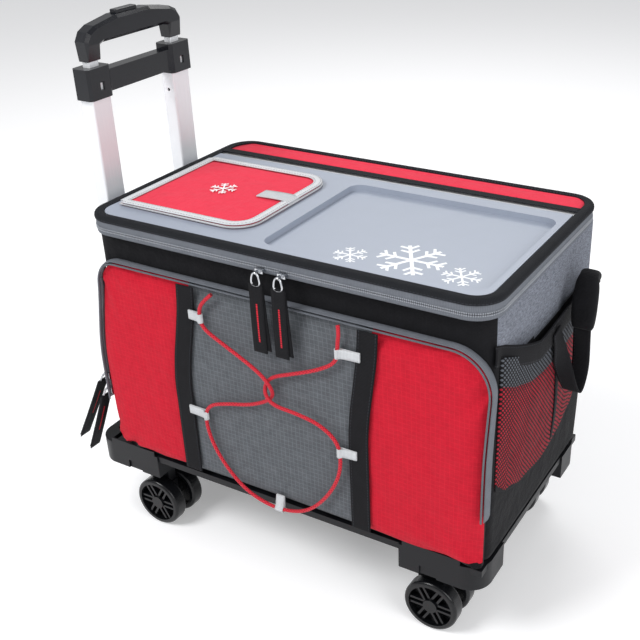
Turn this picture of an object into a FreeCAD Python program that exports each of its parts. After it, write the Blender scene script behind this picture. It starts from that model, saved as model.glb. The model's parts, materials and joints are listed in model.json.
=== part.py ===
import FreeCAD, Part
import math
import os
import re

import Sketcher
from FreeCAD import Placement, Rotation, Vector

# Soft cooler bag on a wheeled base, with a telescopic trolley handle at its left end.
# Every size is in millimetres. +Z is up, +X runs along the bag away from the handle and
# -Y is the front. Heights are counted from the floor. Plan positions are counted from the
# middle of the lid, and bag_x and bag_y then centre the whole object on the origin.

os.makedirs("parts", exist_ok=True)
doc = FreeCAD.newDocument("cooler_on_wheels")

SIZES = {
    # lid and bag
    "lid_length": 470, "lid_depth": 284, "lid_top": 404, "lid_corner": 30,
    "seam_height": 389, "rim_thick": 5, "slip": 0.2,
    "bag_length": 464, "bag_front": 128, "bag_back": 135, "bag_bottom": 109,
    "bag_corner": 12, "skin": 1.6, "foam": 9,
    "core_high": 11, "binding_wide": 11, "tray_thick": 2.4,
    "basin_left": -23, "basin_right": 217, "basin_front": -120, "basin_back": 65,
    "basin_wall": 2, "basin_deep": 6.8,
    "tray_back": 83.5, "webbing_back": 102,
    "hatch_left": -217, "hatch_right": -57, "hatch_front": -106, "hatch_back": 55,
    "hatch_lap": 12, "hatch_thick": 5, "hatch_corner": 34,
    # front pocket
    "pocket_half": 238, "pocket_front": 142, "pocket_bottom": 112, "pocket_top": 351,
    "pocket_corner": 26, "pocket_skin": 2,
    "zip_wide": 10, "zip_thick": 2.4, "zip_bottom": 170,
    "strap_wide": 22, "strap_middle": 109, "strap_thick": 1.2,
    "cord_bore": 7.4, "loop_across": 9.4, "loop_long": 9, "cord_line": 146.8, "cord_across": 4,
    # side pocket, band and carry handle
    "mesh_front": -118, "mesh_back": 112, "mesh_bottom": 168, "mesh_top": 318,
    "mesh_bulge": 12, "band_front": -31, "band_bottom": 304, "band_top": 326, "band_thick": 2,
    "webbing": 23, "webbing_thick": 2.4,
    # base
    "frame_left": -278, "frame_right": 235, "frame_front": 140, "frame_back": 138,
    "frame_bottom": 75, "frame_top": 105, "housing_length": 95, "housing_deep": 54,
    "housing_corner": 25, "housing_floor": 12, "wall": 3, "lip_top": 111,
    "ring_left": -251.5, "rail_wide": 24, "rail_high": 8, "board_thick": 3.6,
    "stem": 10, "stem_play": 0.05, "screw_hole": 3.6, "screw_shank": 3.4, "screw_head": 7,
    # casters
    "caster_left": -209, "caster_right": 163, "caster_front": -112, "caster_rear": 110,
    "trail": 12, "wheel_radius": 31, "wheel_wide": 18, "plate_thick": 12, "wheel_gap": 0.8,
    "axle": 6, "axle_play": 0.06, "hub_radius": 8, "rim_radius": 25, "dish_deep": 8,
    "spoke_wide": 2.6, "spoke_gap": 4.2,
    # trolley handle
    "tube_x": -266, "tube_y": 66, "tube_wide": 29, "tube_thick": 18, "tube_wall": 1.5,
    "tube_foot": 84, "tube_top": 520, "inner_play": 0.5, "inner_wall": 1.2,
    "inner_thick": 10, "inner_wide": 15, "inner_foot": 150, "inner_top": 556,
    "yoke_bottom": 504, "yoke_top": 537, "yoke_half": 84, "socket_wide": 31, "yoke_thick": 24,
    "bar_thick": 15, "grip_foot": 543, "grip_thick": 20,
    "button_long": 34, "button_wide": 10, "button_play": 0.4, "rod": 4,
}

sheet = doc.addObject("Spreadsheet::Sheet", "Sizes")
for row, (alias, value) in enumerate(SIZES.items(), start=1):
    sheet.set(f"A{row}", alias)
    sheet.set(f"B{row}", str(value))
    sheet.setAlias(f"B{row}", alias)
doc.recompute()


# ---------------------------------------------------------------- rules and values

def named(rule):
    """The rule with each alias written as a cell of the sheet."""
    return re.sub(r"[a-z_]+", lambda word: "Sizes." + word[0] if word[0] in SIZES else word[0], str(rule))


def amount(rule):
    """The rule's value now, in millimetres."""
    return float(sheet.evalExpression(named(rule)))


def bind(feature, prop, rule):
    """Ties one property to a rule in the sheet's aliases."""
    feature.setExpression(prop, named(rule))


bag_x = 16.6
bag_y = 6.05


def put(part, x=0, y=0, z=0, turn=None):
    """Stands a sub-part at its place, counted from the middle of the lid and the floor."""
    part.Placement = Placement(Vector(bag_x + amount(x), bag_y + amount(y), amount(z)), turn or Rotation())


parts = []


def sub_part(kind, label):
    """A new object that becomes a node of its own."""
    part = doc.addObject(kind, label)
    part.Label = label
    parts.append(part)
    return part


# ---------------------------------------------------------------- sketches and features

def sketch_on(body, plane="XY_Plane", lift=0):
    """A sketch on one of the body's own origin planes, lifted along the plane's normal."""
    sketch = body.newObject("Sketcher::SketchObject", body.Name + "_sketch")
    support = [f for f in body.Origin.OriginFeatures if f.Role == plane][0]
    sketch.AttachmentSupport = [(support, "")]
    sketch.MapMode = "FlatFace"
    sketch.AttachmentOffset = Placement(Vector(0, 0, amount(lift)), Rotation())
    return sketch


def pin(sketch, geometry, end, x, y):
    """Holds one point of the sketch at the distances that two rules give."""
    for kind, axis, rule in (("DistanceX", -2, x), ("DistanceY", -1, y)):
        value = amount(rule)
        if abs(value) < 1e-6:
            sketch.addConstraint(Sketcher.Constraint("PointOnObject", geometry, end, axis))
        elif value > 0:
            number = sketch.addConstraint(Sketcher.Constraint(kind, -1, 1, geometry, end, value))
            bind(sketch, f"Constraints[{number}]", rule)
        else:
            number = sketch.addConstraint(Sketcher.Constraint(kind, geometry, end, -1, 1, -value))
            bind(sketch, f"Constraints[{number}]", f"-({rule})")


def outline(sketch, corners):
    """A closed outline of straight sides through the given corners."""
    points = [Vector(amount(x), amount(y), 0) for x, y in corners]
    first = sketch.GeometryCount
    for start, end in zip(points, points[1:] + points[:1]):
        sketch.addGeometry(Part.LineSegment(start, end), False)
    for number, (x, y) in enumerate(corners):
        before = first + (number - 1) % len(corners)
        sketch.addConstraint(Sketcher.Constraint("Coincident", before, 2, first + number, 1))
        pin(sketch, first + number, 1, x, y)
    return sketch


def rectangle(sketch, left, right, low, high, corner=0):
    """A closed rectangle between four limits, with rounded corners where a radius is given."""
    if amount(corner) <= 0:
        return outline(sketch, [(left, low), (right, low), (right, high), (left, high)])
    sides = [((f"{left} + ({corner})", low), (f"{right} - ({corner})", low)),
             ((right, f"{low} + ({corner})"), (right, f"{high} - ({corner})")),
             ((f"{right} - ({corner})", high), (f"{left} + ({corner})", high)),
             ((left, f"{high} - ({corner})"), (left, f"{low} + ({corner})"))]
    first = sketch.GeometryCount
    for start, end in sides:
        points = [Vector(amount(x), amount(y), 0) for x, y in (start, end)]
        number = sketch.addGeometry(Part.LineSegment(*points), False)
        pin(sketch, number, 1, *start)
        pin(sketch, number, 2, *end)
    for turn, (x, y) in enumerate(((right, low), (right, high), (left, high), (left, low))):
        inward_x = -1 if x is right else 1
        inward_y = 1 if y is low else -1
        middle = Vector(amount(x) + inward_x * amount(corner), amount(y) + inward_y * amount(corner), 0)
        bend = Part.Circle(middle, Vector(0, 0, 1), amount(corner))
        number = sketch.addGeometry(Part.ArcOfCircle(bend, (turn - 1) * math.pi / 2, turn * math.pi / 2), False)
        sketch.addConstraint(Sketcher.Constraint("Coincident", number, 1, first + turn, 2))
        sketch.addConstraint(Sketcher.Constraint("Coincident", number, 2, first + (turn + 1) % 4, 1))
        size_rule = sketch.addConstraint(Sketcher.Constraint("Radius", number, amount(corner)))
        bind(sketch, f"Constraints[{size_rule}]", corner)
    return sketch


def circle(sketch, radius, x=0, y=0):
    """A circle with its middle at the distances that two rules give."""
    middle = Vector(amount(x), amount(y), 0)
    number = sketch.addGeometry(Part.Circle(middle, Vector(0, 0, 1), amount(radius)), False)
    pin(sketch, number, 3, x, y)
    size_rule = sketch.addConstraint(Sketcher.Constraint("Radius", number, amount(radius)))
    bind(sketch, f"Constraints[{size_rule}]", radius)
    return sketch


def extrude(body, sketch, length, cut=False, back=False, middle=False):
    """Pads or pockets the sketch by a bound length, and checks that it changed the solid."""
    before = body.Shape.Volume if body.Tip else 0
    feature = body.newObject("PartDesign::Pocket" if cut else "PartDesign::Pad", body.Name + "_step")
    feature.Profile = sketch
    bind(feature, "Length", length)
    feature.Reversed = back
    if middle:
        feature.SideType = "Symmetric"
    doc.recompute()
    change = body.Shape.Volume - before
    if (change >= -1e-3) if cut else (change <= 1e-3):
        raise RuntimeError(f"{body.Label}: a step changed nothing")
    return feature


def soften(body, radius, chosen):
    """Rounds the edges that the test chooses."""
    dress_edges(body, "PartDesign::Fillet", "Radius", radius, chosen)


def bevel(body, width, chosen):
    """Chamfers the edges that the test chooses."""
    dress_edges(body, "PartDesign::Chamfer", "Size", width, chosen)


def dress_edges(body, kind, prop, amount_rule, chosen):
    """Adds one fillet or chamfer over the chosen edges, and checks that it changed the solid."""
    base = body.Tip
    names = [f"Edge{n}" for n, edge in enumerate(base.Shape.Edges, start=1) if chosen(edge)]
    feature = body.newObject(kind, body.Name + "_edges")
    feature.Base = (base, names)
    bind(feature, prop, amount_rule)
    doc.recompute()
    if not names or feature.Shape.isNull() or abs(feature.Shape.Volume - base.Shape.Volume) < 1e-6:
        raise RuntimeError(f"{body.Label}: no edge was changed")


def runs_along(edge, axis):
    """True for a straight edge parallel to the axis."""
    if not isinstance(edge.Curve, Part.Line):
        return False
    return abs(abs(edge.tangentAt(edge.FirstParameter).dot(axis)) - 1) < 1e-6


def upright(test=lambda middle: True):
    """Chooses upright edges whose middle passes the test."""
    return lambda edge: runs_along(edge, Vector(0, 0, 1)) and test(edge.BoundBox.Center)


def through(test=lambda middle: True):
    """Chooses edges along Y whose middle passes the test."""
    return lambda edge: runs_along(edge, Vector(0, 1, 0)) and test(edge.BoundBox.Center)


def slab(label, left, right, front, back, low, high, corner=0, chosen=None):
    """A flat body between six limits, with all its upright corners rounded, or the chosen ones."""
    body = sub_part("PartDesign::Body", label)
    base = rectangle(sketch_on(body), left, right, front, back, 0 if chosen else corner)
    extrude(body, base, f"({high}) - ({low})")
    if chosen:
        soften(body, corner, chosen)
    put(body, z=low)
    return body


def hollow(body, left, right, front, back, lift, corner=0):
    """Cuts a rectangular hole from the given height upwards."""
    hole = rectangle(sketch_on(body, lift=lift), left, right, front, back, corner)
    extrude(body, hole, 600, cut=True, back=True)


# ---------------------------------------------------------------- primitives

def block(name, left, right, front, back, low, high):
    """A box between six limits, in plan positions counted from the middle of the lid."""
    box = doc.addObject("Part::Box", name)
    bind(box, "Length", f"({right}) - ({left})")
    bind(box, "Width", f"({back}) - ({front})")
    bind(box, "Height", f"({high}) - ({low})")
    box.Placement.Base = Vector(amount(left), amount(front), amount(low))
    return box


def rod(name, radius, length, start, axis=Vector(0, 0, 1)):
    """A cylinder that starts at a point and runs along an axis."""
    cylinder = doc.addObject("Part::Cylinder", name)
    bind(cylinder, "Radius", radius)
    bind(cylinder, "Height", length)
    cylinder.Placement = Placement(start, Rotation(Vector(0, 0, 1), axis))
    return cylinder


def fused(name, shapes):
    """One solid made of several primitives."""
    fusion = doc.addObject("Part::MultiFuse", name)
    fusion.Shapes = shapes
    fusion.Refine = True
    return fusion


def cut(name, base, tool):
    """A primitive less another."""
    result = doc.addObject("Part::Cut", name)
    result.Base = base
    result.Tool = tool
    return result


def node_of(label, shape, x=0, y=0, z=0):
    """Turns a primitive or boolean into a named sub-part at its place."""
    shape.Label = label
    parts.append(shape)
    put(shape, x, y, z)
    return shape


def group(label, shapes):
    """Several separate solids that share one node."""
    compound = sub_part("Part::Compound", label)
    compound.Links = shapes
    put(compound)
    return compound


# ---------------------------------------------------------------- soft lines

def rounded_path(points, straight_share=0.1):
    """A wire of straight runs joined by tangent arcs, as large as their runs allow."""
    reach = (1 - straight_share) / 2
    edges = []
    radii = []
    last = points[0]
    for before, corner, after in zip(points, points[1:], points[2:]):
        arriving = (corner - before).normalize()
        leaving = (after - corner).normalize()
        half_turn = arriving.getAngle(leaving) / 2
        tangent = reach * min(corner.distanceToPoint(before), corner.distanceToPoint(after))
        radius = tangent / math.tan(half_turn)
        start = corner - arriving * tangent
        end = corner + leaving * tangent
        inward = (leaving - arriving).normalize()
        middle = corner + inward * (radius / math.cos(half_turn) - radius)
        edges.append(Part.LineSegment(last, start).toShape())
        edges.append(Part.Arc(start, middle, end).toShape())
        radii.append(radius)
        last = end
    edges.append(Part.LineSegment(last, points[-1]).toShape())
    return Part.Wire(edges), radii


def swept(wire, profile):
    """The solid that a closed profile sweeps along the wire."""
    return wire.makePipeShell([profile], True, False)


# ---------------------------------------------------------------- bag

def open_box(label, inset, wall, floor, corner):
    """A box open at the top, set inside the bag's outside by an inset."""
    left = f"-bag_length / 2 + {inset}"
    right = f"bag_length / 2 - {inset}"
    front = f"-bag_front + {inset}"
    back = f"bag_back - {inset}"
    body = slab(label, left, right, front, back,
                f"bag_bottom + {inset}", "seam_height - rim_thick - slip", corner)
    inner_corner = f"{corner} - {wall}"
    hollow(body, f"{left} + {wall}", f"{right} - {wall}", f"{front} + {wall}", f"{back} - {wall}",
           floor, inner_corner if amount(inner_corner) > 1 else 0)
    return body


FOAM_INSET = "(skin + slip)"
LINER_INSET = "(skin + foam + 2 * slip)"
CAVITY_INSET = "(2 * skin + foam + 2 * slip)"


def make_bag():
    open_box("bag_shell", "0", "skin", "skin", "bag_corner")
    open_box("insulation_foam", FOAM_INSET, "foam", "foam", "bag_corner - skin")
    open_box("cooler_liner", LINER_INSET, "skin", "skin", "skin + 2")
    slab("bottom_board", "-bag_length / 2 + 6", "bag_length / 2 - 6", "-bag_front + 6", "bag_back - 6",
         "bag_bottom - slip - board_thick", "bag_bottom - slip", 10)
    rim = slab("mouth_rim", "-lid_length / 2 + 1", "lid_length / 2 - 1",
               "-lid_depth / 2 + 1", "lid_depth / 2 - 1",
               "seam_height - rim_thick", "seam_height", "lid_corner - 1")
    hollow(rim, f"-bag_length / 2 + {CAVITY_INSET}", f"bag_length / 2 - {CAVITY_INSET}",
           f"-bag_front + {CAVITY_INSET}", f"bag_back - {CAVITY_INSET}", 0, 2)
    group("lid_hinge_strip", [block("hinge_webbing", "-lid_length / 2 + 25", "lid_length / 2 - 25",
                                    "bag_back + 0.4", "bag_back + 1.6",
                                    "seam_height - 24", "seam_height - rim_thick - slip")])


# ---------------------------------------------------------------- lid

LID_LOW = "(seam_height + 0.6)"
CORE_TOP = "(seam_height + 0.6 + core_high)"


def make_lid():
    core = slab("lid_core", "-lid_length / 2 + 3 + slip", "lid_length / 2 - 3 - slip",
                "-lid_depth / 2 + 3 + slip", "lid_depth / 2 - 3 - slip", LID_LOW, CORE_TOP, "lid_corner - 3 - slip")
    hollow(core, "hatch_left + hatch_lap", "hatch_right - hatch_lap",
           "hatch_front + hatch_lap", "hatch_back - hatch_lap", -1, 8)
    hollow(core, "basin_left - basin_wall - 0.4", "basin_right + basin_wall + 0.4",
           "basin_front - basin_wall - 0.4", "basin_back + basin_wall + 0.4",
           "core_high - basin_deep + tray_thick - basin_wall - 0.4", 14)

    binding = slab("lid_binding", "-lid_length / 2", "lid_length / 2", "-lid_depth / 2", "lid_depth / 2",
                   LID_LOW, "lid_top", "lid_corner")
    window = ("-lid_length / 2 + binding_wide", "lid_length / 2 - binding_wide")
    hollow(binding, *window, "-lid_depth / 2 + binding_wide", "tray_back + slip", -1)
    hollow(binding, *window, "webbing_back", "lid_depth / 2 - binding_wide", -1)
    ledge = rectangle(sketch_on(binding), "-lid_length / 2 + 3", "lid_length / 2 - 3",
                      "-lid_depth / 2 + 3", "lid_depth / 2 - 3", "lid_corner - 3")
    extrude(binding, ledge, "core_high + slip", cut=True, back=True)

    inner = "(lid_length / 2 - binding_wide - slip)"
    inner_y = "(lid_depth / 2 - binding_wide - slip)"
    low = f"({CORE_TOP} + slip)"
    high = f"({CORE_TOP} + slip + tray_thick)"
    tray = slab("serving_tray", f"-{inner}", inner, f"-{inner_y}", "tray_back", low, high,
                "lid_corner - binding_wide - slip", upright(lambda m: m.y < 0))
    well = rectangle(sketch_on(tray, lift="tray_thick"), "basin_left - basin_wall", "basin_right + basin_wall",
                     "basin_front - basin_wall", "basin_back + basin_wall", 16)
    extrude(tray, well, "basin_deep + basin_wall", back=True)
    hollow(tray, "basin_left", "basin_right", "basin_front", "basin_back", "tray_thick - basin_deep", 14)
    hollow(tray, "hatch_left + hatch_lap", "hatch_right - hatch_lap",
           "hatch_front + hatch_lap", "hatch_back - hatch_lap", -20, 8)

    slab("back_strip", f"-{inner}", inner, "webbing_back + slip", inner_y, low, high,
         "lid_corner - binding_wide - slip", upright(lambda m: m.y > 120))

    flap_low = f"({high} + 0.4)"
    slab("hatch_flap", "hatch_left", "hatch_right", "hatch_front", "hatch_back",
         flap_low, f"{flap_low} + hatch_thick", "hatch_corner", upright(lambda m: m.x > -100))
    tab_low = f"{flap_low} + hatch_thick + slip"
    group("hatch_pull", [block("hatch_tab", "hatch_right - 37", "hatch_right + 2", -27, -12,
                               tab_low, f"{tab_low} + 1.4")])


# ---------------------------------------------------------------- front pocket

def make_front_pocket():
    body = sub_part("PartDesign::Body", "front_pocket")
    face = sketch_on(body, "XZ_Plane", "bag_front + 0.4")
    rectangle(face, "-pocket_half", "pocket_half", "pocket_bottom", "pocket_top", "pocket_corner")
    extrude(body, face, "pocket_front - bag_front - 0.4")
    inside = sketch_on(body, "XZ_Plane", "bag_front + 0.4")
    rectangle(inside, "-pocket_half + pocket_skin", "pocket_half - pocket_skin",
              "pocket_bottom + pocket_skin", "pocket_top - pocket_skin", "pocket_corner - pocket_skin")
    extrude(body, inside, "pocket_front - bag_front - 0.4 - pocket_skin", cut=True, back=True)
    put(body)

    band = sub_part("PartDesign::Body", "pocket_zipper")
    outer = sketch_on(band, "XZ_Plane", "bag_front + 0.4")
    rectangle(outer, "-pocket_half - slip - zip_thick", "pocket_half + slip + zip_thick",
              "zip_bottom", "pocket_top + slip + zip_thick")
    extrude(band, outer, "zip_wide")
    soften(band, "pocket_corner + slip + zip_thick", through(lambda m: m.z > 300))
    inner = sketch_on(band, "XZ_Plane", "bag_front - 5")
    rectangle(inner, "-pocket_half - slip", "pocket_half + slip", "zip_bottom - 60", "pocket_top + slip",
              "pocket_corner + slip")
    extrude(band, inner, "zip_wide + 20", cut=True, back=True)
    put(band)

    straps = []
    for side, sign in (("left", -1), ("right", 1)):
        middle = f"({sign} * strap_middle)"
        straps.append(block(f"strap_{side}", f"{middle} - strap_wide / 2", f"{middle} + strap_wide / 2",
                            "-pocket_front - slip - strap_thick", "-pocket_front - slip",
                            "pocket_bottom", "pocket_top - 4"))
    group("front_straps", straps)


# Each webbing loop: name, where its ring stands in x and z, how far its tab reaches in x.
SIDE_LOOPS = [
    ("upper_left", -86, 317, -102),
    ("lower_left", -92.5, 197, -114),
    ("upper_right", 80, 319, 98),
    ("lower_right", 78, 204, 94),
]
BOTTOM_LOOP = (-3, 103)

# The cord's route over the pocket, from its upper left end to its upper right end.
CORD_ROUTE = [
    (-69, -144.8, 347), (-79, -146.8, 338), (-86, -146.8, 327), (-85.5, -146.8, 307),
    (-60, -146.8, 294), (-29, -148.5, 281), (-8, -152.2, 273), (1, -151, 261),
    (1, -147.4, 249), (-9, -146.8, 239), (-31, -146.8, 228), (-62, -146.8, 220.5),
    (-88, -146.8, 211), (-94, -146.8, 190), (-87, -146.8, 160), (-70, -146.8, 133),
    (-46, -146.8, 111), (-16, -146.8, 102), (12, -146.8, 104), (36, -146.8, 115),
    (57, -146.8, 138), (73, -146.8, 166), (79, -146.8, 192), (76, -146.8, 216),
    (55, -146.8, 231), (26, -149, 237.5), (4, -152.4, 241), (-7, -151.3, 250),
    (-8, -147.4, 262), (2, -146.8, 272), (25, -146.8, 281), (56, -146.8, 294),
    (79, -146.8, 309), (80, -146.8, 330), (82, -146.8, 341), (80, -144.8, 349),
]


def make_loop(name, x, z, axis):
    """The ring of a webbing loop and the bore that the cord runs through."""
    start = Vector(x, -amount("cord_line"), z) - axis * amount("loop_long / 2")
    ring = rod(f"ring_{name}", "loop_across / 2", "loop_long", start, axis)
    bore = rod(f"bore_{name}", "cord_bore / 2", "loop_long + 40", start - axis * 20, axis)
    return ring, bore


def make_cord_loops():
    tab_front, tab_back = "-cord_line + 1", "-cord_line + 3.1"
    loops = []
    for name, x, z, reach in SIDE_LOOPS:
        ring, bore = make_loop(name, x, z, Vector(0, 0, 1))
        tab = block(f"tab_{name}", min(x, reach), max(x, reach), tab_front, tab_back,
                    f"{z} - loop_long / 2", f"{z} + loop_long / 2")
        loops.append(cut(f"loop_{name}", fused(f"webbing_{name}", [ring, tab]), bore))
    x, z = BOTTOM_LOOP
    ring, bore = make_loop("bottom", x, z, Vector(1, 0, 0))
    tab = block("tab_bottom", f"{x} - loop_long / 2", f"{x} + loop_long / 2", tab_front, tab_back, z, z + 16)
    loops.append(cut("loop_bottom", fused("webbing_bottom", [ring, tab]), bore))
    group("cord_loops", loops)


def make_bungee_cord():
    wire, radii = rounded_path([Vector(*point) for point in CORD_ROUTE])
    radius = amount("cord_across / 2")
    start = Vector(*CORD_ROUTE[0])
    heading = Vector(*CORD_ROUTE[1]) - start
    section = Part.Wire([Part.makeCircle(radius, start, heading)])
    cord = sub_part("Part::Feature", "bungee_cord")
    cord.Shape = swept(wire, section)
    put(cord)
    expected = math.pi * radius ** 2 * wire.Length
    print("cord length %.0f mm, volume %.4f of section times length" % (wire.Length, cord.Shape.Volume / expected))
    print("cord radii", [round(r) for r in radii])


# ---------------------------------------------------------------- side pocket and carry handle

def make_side():
    side = "(bag_length / 2)"
    outer = block("mesh_outer", f"{side} + slip", f"{side} + mesh_bulge", "mesh_front", "mesh_back",
                  "mesh_bottom", "mesh_top")
    inner = block("mesh_inner", f"{side} - 1", f"{side} + mesh_bulge - skin", "mesh_front + skin",
                  "mesh_back - skin", "mesh_bottom + skin", "mesh_top + 1")
    node_of("side_mesh_pocket", cut("side_mesh_pocket", outer, inner))
    face = f"{side} + mesh_bulge + slip"
    group("side_band", [block("band_webbing", face, f"{face} + band_thick",
                              "band_front", "mesh_back", "band_bottom", "band_top")])


# The carry strap's line in y and z: a slack front leg, up over the grip, down to the rear end.
HANDLE_LINE = [(-8, 318), (6, 270), (22, 238), (33, 262), (29, 312), (38, 352),
               (64, 364), (90, 350), (100, 318)]
WRAPPED_EDGES = slice(8, 13)


def ribbon(wire, wide, thick):
    """A flat band swept along a line that lies in a plane of constant x."""
    start = wire.OrderedVertexes[0].Point
    heading = wire.OrderedEdges[0].tangentAt(wire.OrderedEdges[0].FirstParameter)
    across = Vector(wide / 2, 0, 0)
    depth = Vector(1, 0, 0).cross(heading).normalize() * (thick / 2)
    corners = [start + across * a + depth * d for a, d in ((-1, -1), (1, -1), (1, 1), (-1, 1))]
    return swept(wire, Part.makePolygon(corners + corners[:1]))


def make_carry_handle():
    x = amount("bag_length / 2 + mesh_bulge + slip + band_thick + 2.4 + webbing / 2")
    line = rounded_path([Vector(x, y, z) for y, z in HANDLE_LINE])[0]
    wide, thick = amount("webbing"), amount("webbing_thick")
    strap = sub_part("Part::Feature", "carry_strap")
    strap.Shape = ribbon(line, wide, thick)
    put(strap)
    wrapped = Part.Wire(line.Edges[WRAPPED_EDGES])
    wrap = sub_part("Part::Feature", "carry_grip")
    wrap.Shape = ribbon(wrapped, wide + 3, 13).cut(ribbon(line, wide + 0.6, thick + 0.6))
    put(wrap)


# ---------------------------------------------------------------- base

def mirrored(low, high, sign):
    """Two limits, swapped to the other side of zero when the sign is negative."""
    return (low, high) if sign > 0 else (f"-({high})", f"-({low})")


def make_housing(label, sign, stem_x, ring_end, x, y, turned):
    """A moulded corner cap with a stem bore, screw holes, a cavity, a front lip and a notch."""
    body = sub_part("PartDesign::Body", label)
    high = "(frame_top - frame_bottom)"
    extrude(body, rectangle(sketch_on(body), 0, "housing_length", *mirrored(0, "housing_deep", sign)), high)
    outside = amount("housing_length")
    soften(body, "housing_corner", upright(lambda m: abs(m.x - outside) < 1e-4 and abs(m.y) < 1e-4))
    hollow(body, "wall", "housing_length - 20", *mirrored("wall + 2", "housing_deep - wall", sign),
           "housing_floor", 4)
    rail_low = f"{high} - rail_high - slip"
    hollow(body, -1, f"{ring_end} + slip", *mirrored("2 - slip", "2 + rail_wide + slip", sign), rail_low)
    hollow(body, f"{ring_end} - rail_wide - slip", f"{ring_end} + slip",
           *mirrored("2 - slip", "housing_deep + 1", sign), rail_low)
    middle = f"({sign} * (frame_front + caster_front))"
    bore = circle(sketch_on(body), "stem / 2 + stem_play", stem_x, middle)
    extrude(body, bore, "housing_floor + 1", cut=True, back=True)
    for place in ("housing_length - 42", "housing_length - 12"):
        hole = circle(sketch_on(body), "screw_hole / 2", place, middle)
        extrude(body, hole, "housing_floor + 30", cut=True, back=True)
    lip = rectangle(sketch_on(body, lift=high), 4, "housing_length - housing_corner", *mirrored(0, "2 - slip", sign))
    extrude(body, lip, "lip_top - frame_top")
    notch = rectangle(sketch_on(body), f"{stem_x} + 1", f"{stem_x} + 21", *mirrored(-1, 1.8, sign))
    extrude(body, notch, 11, cut=True, back=True)
    put(body, x, y, "frame_bottom", Rotation(Vector(0, 0, 1), 180) if turned else None)


RIGHT_STEM = "(housing_length - frame_right + caster_right)"
LEFT_STEM = "(frame_left + housing_length - caster_left)"


def make_base():
    right = "frame_right - housing_length"
    left = "frame_left + housing_length"
    right_end = "(housing_length - 2)"
    left_end = "(housing_length - ring_left + frame_left)"
    make_housing("front_right_housing", 1, RIGHT_STEM, right_end, right, "-frame_front", False)
    make_housing("rear_right_housing", -1, RIGHT_STEM, right_end, right, "frame_back", False)
    make_housing("front_left_housing", -1, LEFT_STEM, left_end, left, "-frame_front", True)
    make_housing("rear_left_housing", 1, LEFT_STEM, left_end, left, "frame_back", True)

    ring = slab("base_frame", "ring_left", "frame_right - 2", "-frame_front + 2", "frame_back - 2",
                "frame_top - rail_high", "frame_top", 1)
    hollow(ring, "ring_left + rail_wide", "frame_right - 2 - rail_wide",
           "-frame_front + 2 + rail_wide", "frame_back - 2 - rail_wide", -1, 4)

    inner_front = "housing_deep - frame_front + slip"
    inner_back = "frame_back - housing_deep - slip"
    bracket = slab("handle_bracket", "frame_left", "tube_x + tube_thick / 2 + 5", inner_front, inner_back,
                   "frame_bottom + 1", "lip_top", 1.5)
    for sign in (-1, 1):
        hollow(bracket, "tube_x - tube_thick / 2 - slip", "tube_x + tube_thick / 2 + slip",
               f"{sign} * tube_y - tube_wide / 2 - slip", f"{sign} * tube_y + tube_wide / 2 + slip",
               "tube_foot - frame_bottom - 1")

    screws = []
    for x_name, x_rules in (("right", ("frame_right - 42", "frame_right - 12")),
                            ("left", ("frame_left + 42", "frame_left + 12"))):
        for y_name, y_rule in (("front", "caster_front"), ("rear", "caster_rear")):
            for number, x_rule in enumerate(x_rules):
                name = f"screw_{y_name}_{x_name}_{number}"
                foot = Vector(amount(x_rule), amount(y_rule), amount("frame_bottom - 1.8"))
                head = rod(f"{name}_head", "screw_head / 2", 1.8, foot)
                shank = rod(f"{name}_shank", "screw_shank / 2", 11, foot + Vector(0, 0, 1.8))
                screws.append(fused(name, [head, shank]))
    group("base_screws", screws)


# ---------------------------------------------------------------- casters

def make_fork(label, x, y):
    """A swivel fork: stem with its head, neck, and the plate that carries the axle."""
    up = Vector(0, 0, 1)
    stem = rod(f"{label}_stem", "stem / 2", "housing_floor + 2", Vector(0, 0, amount("frame_bottom - 1")))
    head = rod(f"{label}_head", "stem / 2 + 3", 2, up * amount("frame_bottom + housing_floor + 0.4"))
    neck = rod(f"{label}_neck", 11, 8.5, up * amount("frame_bottom - 9"))
    low = block(f"{label}_low", "trail - 15", "trail + 9", "-plate_thick / 2", "plate_thick / 2", "wheel_radius", 52)
    top = block(f"{label}_top", -11, 19, "-plate_thick / 2", "plate_thick / 2", 50, "frame_bottom - 7")
    axis_height = amount("wheel_radius")
    side = Vector(amount("trail"), -amount("plate_thick / 2"), axis_height)
    hub = rod(f"{label}_hub", 11, "plate_thick", side, Vector(0, 1, 0))
    bore = rod(f"{label}_bore", "axle / 2 + stem_play", "plate_thick + 20", side - Vector(0, 10, 0), Vector(0, 1, 0))
    node_of(label, cut(f"{label}_solid", fused(f"{label}_whole", [stem, head, neck, low, top, hub]), bore), x, y)


def make_wheel(label, x, y, turn):
    """A spoked wheel on local Z, its inner face at zero: six double spokes in a dished face."""
    body = sub_part("PartDesign::Body", label)
    extrude(body, circle(sketch_on(body), "wheel_radius"), "wheel_wide")
    soften(body, 3.5, lambda edge: isinstance(edge.Curve, Part.Circle))
    dish = sketch_on(body, lift="wheel_wide - dish_deep")
    circle(dish, "rim_radius")
    circle(dish, "hub_radius")
    extrude(body, dish, 30, cut=True, back=True)
    back_dish = sketch_on(body)
    circle(back_dish, "rim_radius")
    circle(back_dish, "hub_radius + 1")
    extrude(body, back_dish, 6, cut=True, back=True)
    bore = circle(sketch_on(body), "axle / 2 + axle_play")
    extrude(body, bore, "wheel_wide - 2.5", cut=True, back=True)
    bars = sketch_on(body, lift="wheel_wide - dish_deep - 0.5")
    for sign in (-1, 1):
        near, far = mirrored("spoke_gap / 2", "spoke_gap / 2 + spoke_wide", sign)
        rectangle(bars, "hub_radius - 2", "rim_radius + 1", near, far)
    spoke = extrude(body, bars, "dish_deep - 1.5")
    ring = body.newObject("PartDesign::PolarPattern", body.Name + "_spokes")
    ring.Originals = [spoke]
    ring.Axis = (bars, ["N_Axis"])
    ring.Angle = 360
    ring.Occurrences = 6
    body.Tip = ring
    doc.recompute()
    put(body, x, y, "wheel_radius", turn)


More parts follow.
